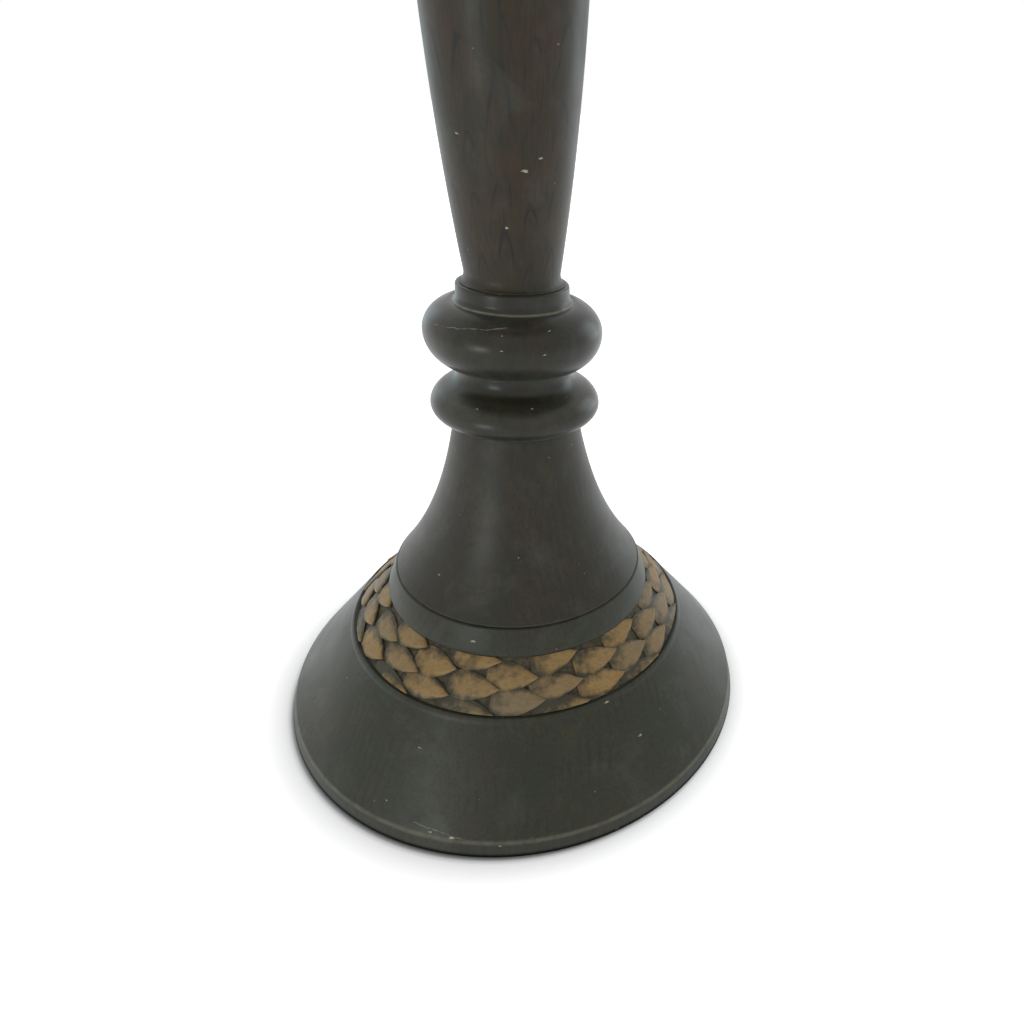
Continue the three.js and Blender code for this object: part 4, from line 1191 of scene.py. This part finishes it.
def cone_band(inner_gap, wall, low, high, fillet):
    """Cloth round the shade's cone: its gap to the cone, thickness, heights and edges' fillet, in mm."""
    def side(gap, height):
        share = (height - shade_low) / shade_rise
        return SHADE_FOOT_RADIUS + (SHADE_TOP_RADIUS - SHADE_FOOT_RADIUS) * share + gap * shade_slope

    steps = 12
    heights = [low + (high - low) * k / steps for k in range(1, steps)]
    outer_gap = inner_gap + wall
    return lay_cloth(turned([
        (side(inner_gap, low), low, fillet), (side(outer_gap, low), low, fillet),
        *[(side(outer_gap, height), height) for height in heights],
        (side(outer_gap, high), high, fillet), (side(inner_gap, high), high, fillet),
        *[(side(inner_gap, height), height) for height in reversed(heights)],
    ], ROUND), shade_mean_radius, shade_slope)


def make_cover():
    return finished("linen_cover", cone_band(-COVER_WALL, COVER_WALL, shade_low, shade_high, 0.25), linen)


def make_trim(name, node):
    low, high = span(node)
    return finished(name, cone_band(TRIM_GAP, TRIM_WALL, low, high, 0.3), binding)


# Every new piece with its body, the nodes that it stands for and its material slot
cover = make_cover()
bottom_trim = make_trim("bottom_binding", "shade_bottom_trim")
top_trim = make_trim("top_binding", "shade_top_trim")
pad = make_pad()
leaves = make_leaves()
dressed = [
    (make_foot(), "lamp_base", "foot", "carved_wood"),
    (pad, "lamp_base", "base_pad", "baize"),
    (make_bell(), "lamp_base", "bell", "stained_wood"),
    (make_knop(), "lamp_base", "knop", "stained_wood"),
    (make_shaft(), "lamp_base", "shaft", "stained_wood"),
    (make_cap(), "lamp_base", "shaft_cap", "stained_wood"),
    (make_bush(), "lamp_base", "cord_bush", "brown_plastic"),
    (make_nut("pipe_nut_hexagon", "pipe_nut", 17, zinc_steel), "lamp_base", "pipe_nut", "steel"),
    (make_nut("lock_nut_hexagon", "lock_nut", 14, aged_brass), "lamp_base", "lock_nut", "brass"),
    (make_vase_cap(), "lamp_base", "vase_cap", "brass"),
    (make_holder_cap(), "lamp_base", "holder_cap", "brass"),
    (make_holder_body(), "lamp_base", "holder_body", "brass"),
    (make_skirt(), "lamp_base", "holder_skirt", "brass"),
    (make_switch_bar(), "switch", "switch_bar", "brown_plastic"),
    (make_spring("left"), "lamp_base", "plunger_spring_left", "spring_steel"),
    (make_spring("right"), "lamp_base", "plunger_spring_right", "spring_steel"),
    (make_bulb_cap(), "bulb", "bulb_cap", "solder"),
    (make_glass(), "bulb", "bulb_glass", "pearl_glass"),
    (make_shade_ring(), "shade_ring_body", "shade_ring", "brown_plastic"),
    (make_gimbal(), "shade", "shade_gimbal", "shade_wire"),
    (make_top_ring(), "shade", "shade_top_ring", "shade_wire"),
    (cover, "shade", "shade_cover", "shade_cloth"),
    (bottom_trim, "shade", "shade_bottom_trim", "shade_binding"),
    (top_trim, "shade", "shade_top_trim", "shade_binding"),
]
for piece, body, node, slot in dressed:
    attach(piece, body)
    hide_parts(node)
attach(leaves, "lamp_base")

kept_nodes = {
    "lamp_pipe": zinc_steel,
    "pipe_washer": zinc_steel,
    "holder_insulator": porcelain,
    "plunger_left": aged_brass,
    "plunger_right": aged_brass,
    "terminal_screw_front": aged_brass,
    "terminal_screw_back": aged_brass,
    "bulb_insulator": cap_glass,
    "bulb_contact_left": tinned_brass,
    "bulb_contact_right": tinned_brass,
}
for node, material in kept_nodes.items():
    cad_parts[node].material_slots[0].material = material


# Floor and light
def shown_white(add):
    """1 for what the camera, gloss and glass see, and 0 for the light that falls on the lamp."""
    path = add("LightPath", {})
    rays = [path.node.outputs[kind] for kind in ("Is Camera Ray", "Is Glossy Ray", "Is Transmission Ray")]
    seen = add("Math MAXIMUM", {0: rays[0], 1: rays[1]})
    return add("Math MAXIMUM", {0: seen, 1: rays[2]})


# How far, in mm, the painted shadow round the foot is shifted off the lamp's axis.
SHADE_SIDE = (1.5, 0.3, 0)


def make_floor():
    """A pale sheet that shows white, with the lamp's shadow close round its foot painted on: a dark colour
    at the foot, and a white glow for the camera, gloss and glass that fades out towards the foot.
    """
    material, add, where = new_material("white_sweep")
    away = off_axis(add, add("VectorMath ADD", {0: where, 1: SHADE_SIDE}))
    # Painted contact shadow: the floor's own colour is dark right at the foot.
    contact = add("MapRange", {"Value": away, "From Min": 87.8, "From Max": 89.8})
    # Painted soft shadow: the floor's white glow fades out towards the foot.
    near = add("MapRange", {"Value": away, "From Min": 89.2, "From Max": 91, "To Max": 0.28})
    far = add("MapRange", {"Value": away, "From Min": 90.6, "From Max": 104, "To Max": 0.38})
    clear = add("Math ADD", {0: near, 1: far})
    surfaced(material, {
        "Base Color": painted(add, "4a4744", ("f2f2f2", contact)),
        "Roughness": 0.95,
        "Emission Color": (1, 1, 1, 1),
        "Emission Strength": add("Math MULTIPLY", {0: shown_white(add), 1: clear}),
    })
    bm = bmesh.new()
    bmesh.ops.create_circle(bm, segments=64, radius=6, cap_ends=True)
    floor = finished("floor", bm, material)


def make_light(name, place, aim, size, energy, colour):
    lamp = bpy.data.lights.new(name, "AREA")
    lamp.color = linear(colour)[:3]
    lamp.shape = "RECTANGLE"
    lamp.size, lamp.size_y = size
    lamp.energy = energy
    light = bpy.data.objects.new(name, lamp)
    bpy.context.scene.collection.objects.link(light)
    turn = (Vector(aim) - Vector(place)).to_track_quat("-Z", "Y")
    light.matrix_world = Matrix.Translation(place) @ turn.to_matrix().to_4x4()


def make_world():
    world = bpy.data.worlds.new("studio")
    bpy.context.scene.world = world
    world.use_nodes = True
    add = partial(add_node, world.node_tree)
    seen = shown_white(add)
    connect(world.node_tree.nodes["Background"], {
        "Color": painted(add, "f4f5f6", ("ffffff", seen)),
        "Strength": add("MapRange", {"Value": seen, "To Min": 0.75, "To Max": 1.0}),
    })


make_floor()
make_world()
make_light("window", (-1.1, -1.2, 0.3), (0, 0, 0.15), (0.34, 0.18), 4.2, "e6f0f4")
make_light("right_side", (1.3, 0.8, 0.35), (0, 0, 0.2), (0.7, 1.2), 5, "d6e8ee")
make_light("left_side", (-0.9, 1.3, 0.2), (0, 0, 0.2), (0.5, 1.2), 1.8, "b4dce8")
bpy.context.scene.view_settings.view_transform = "Standard"
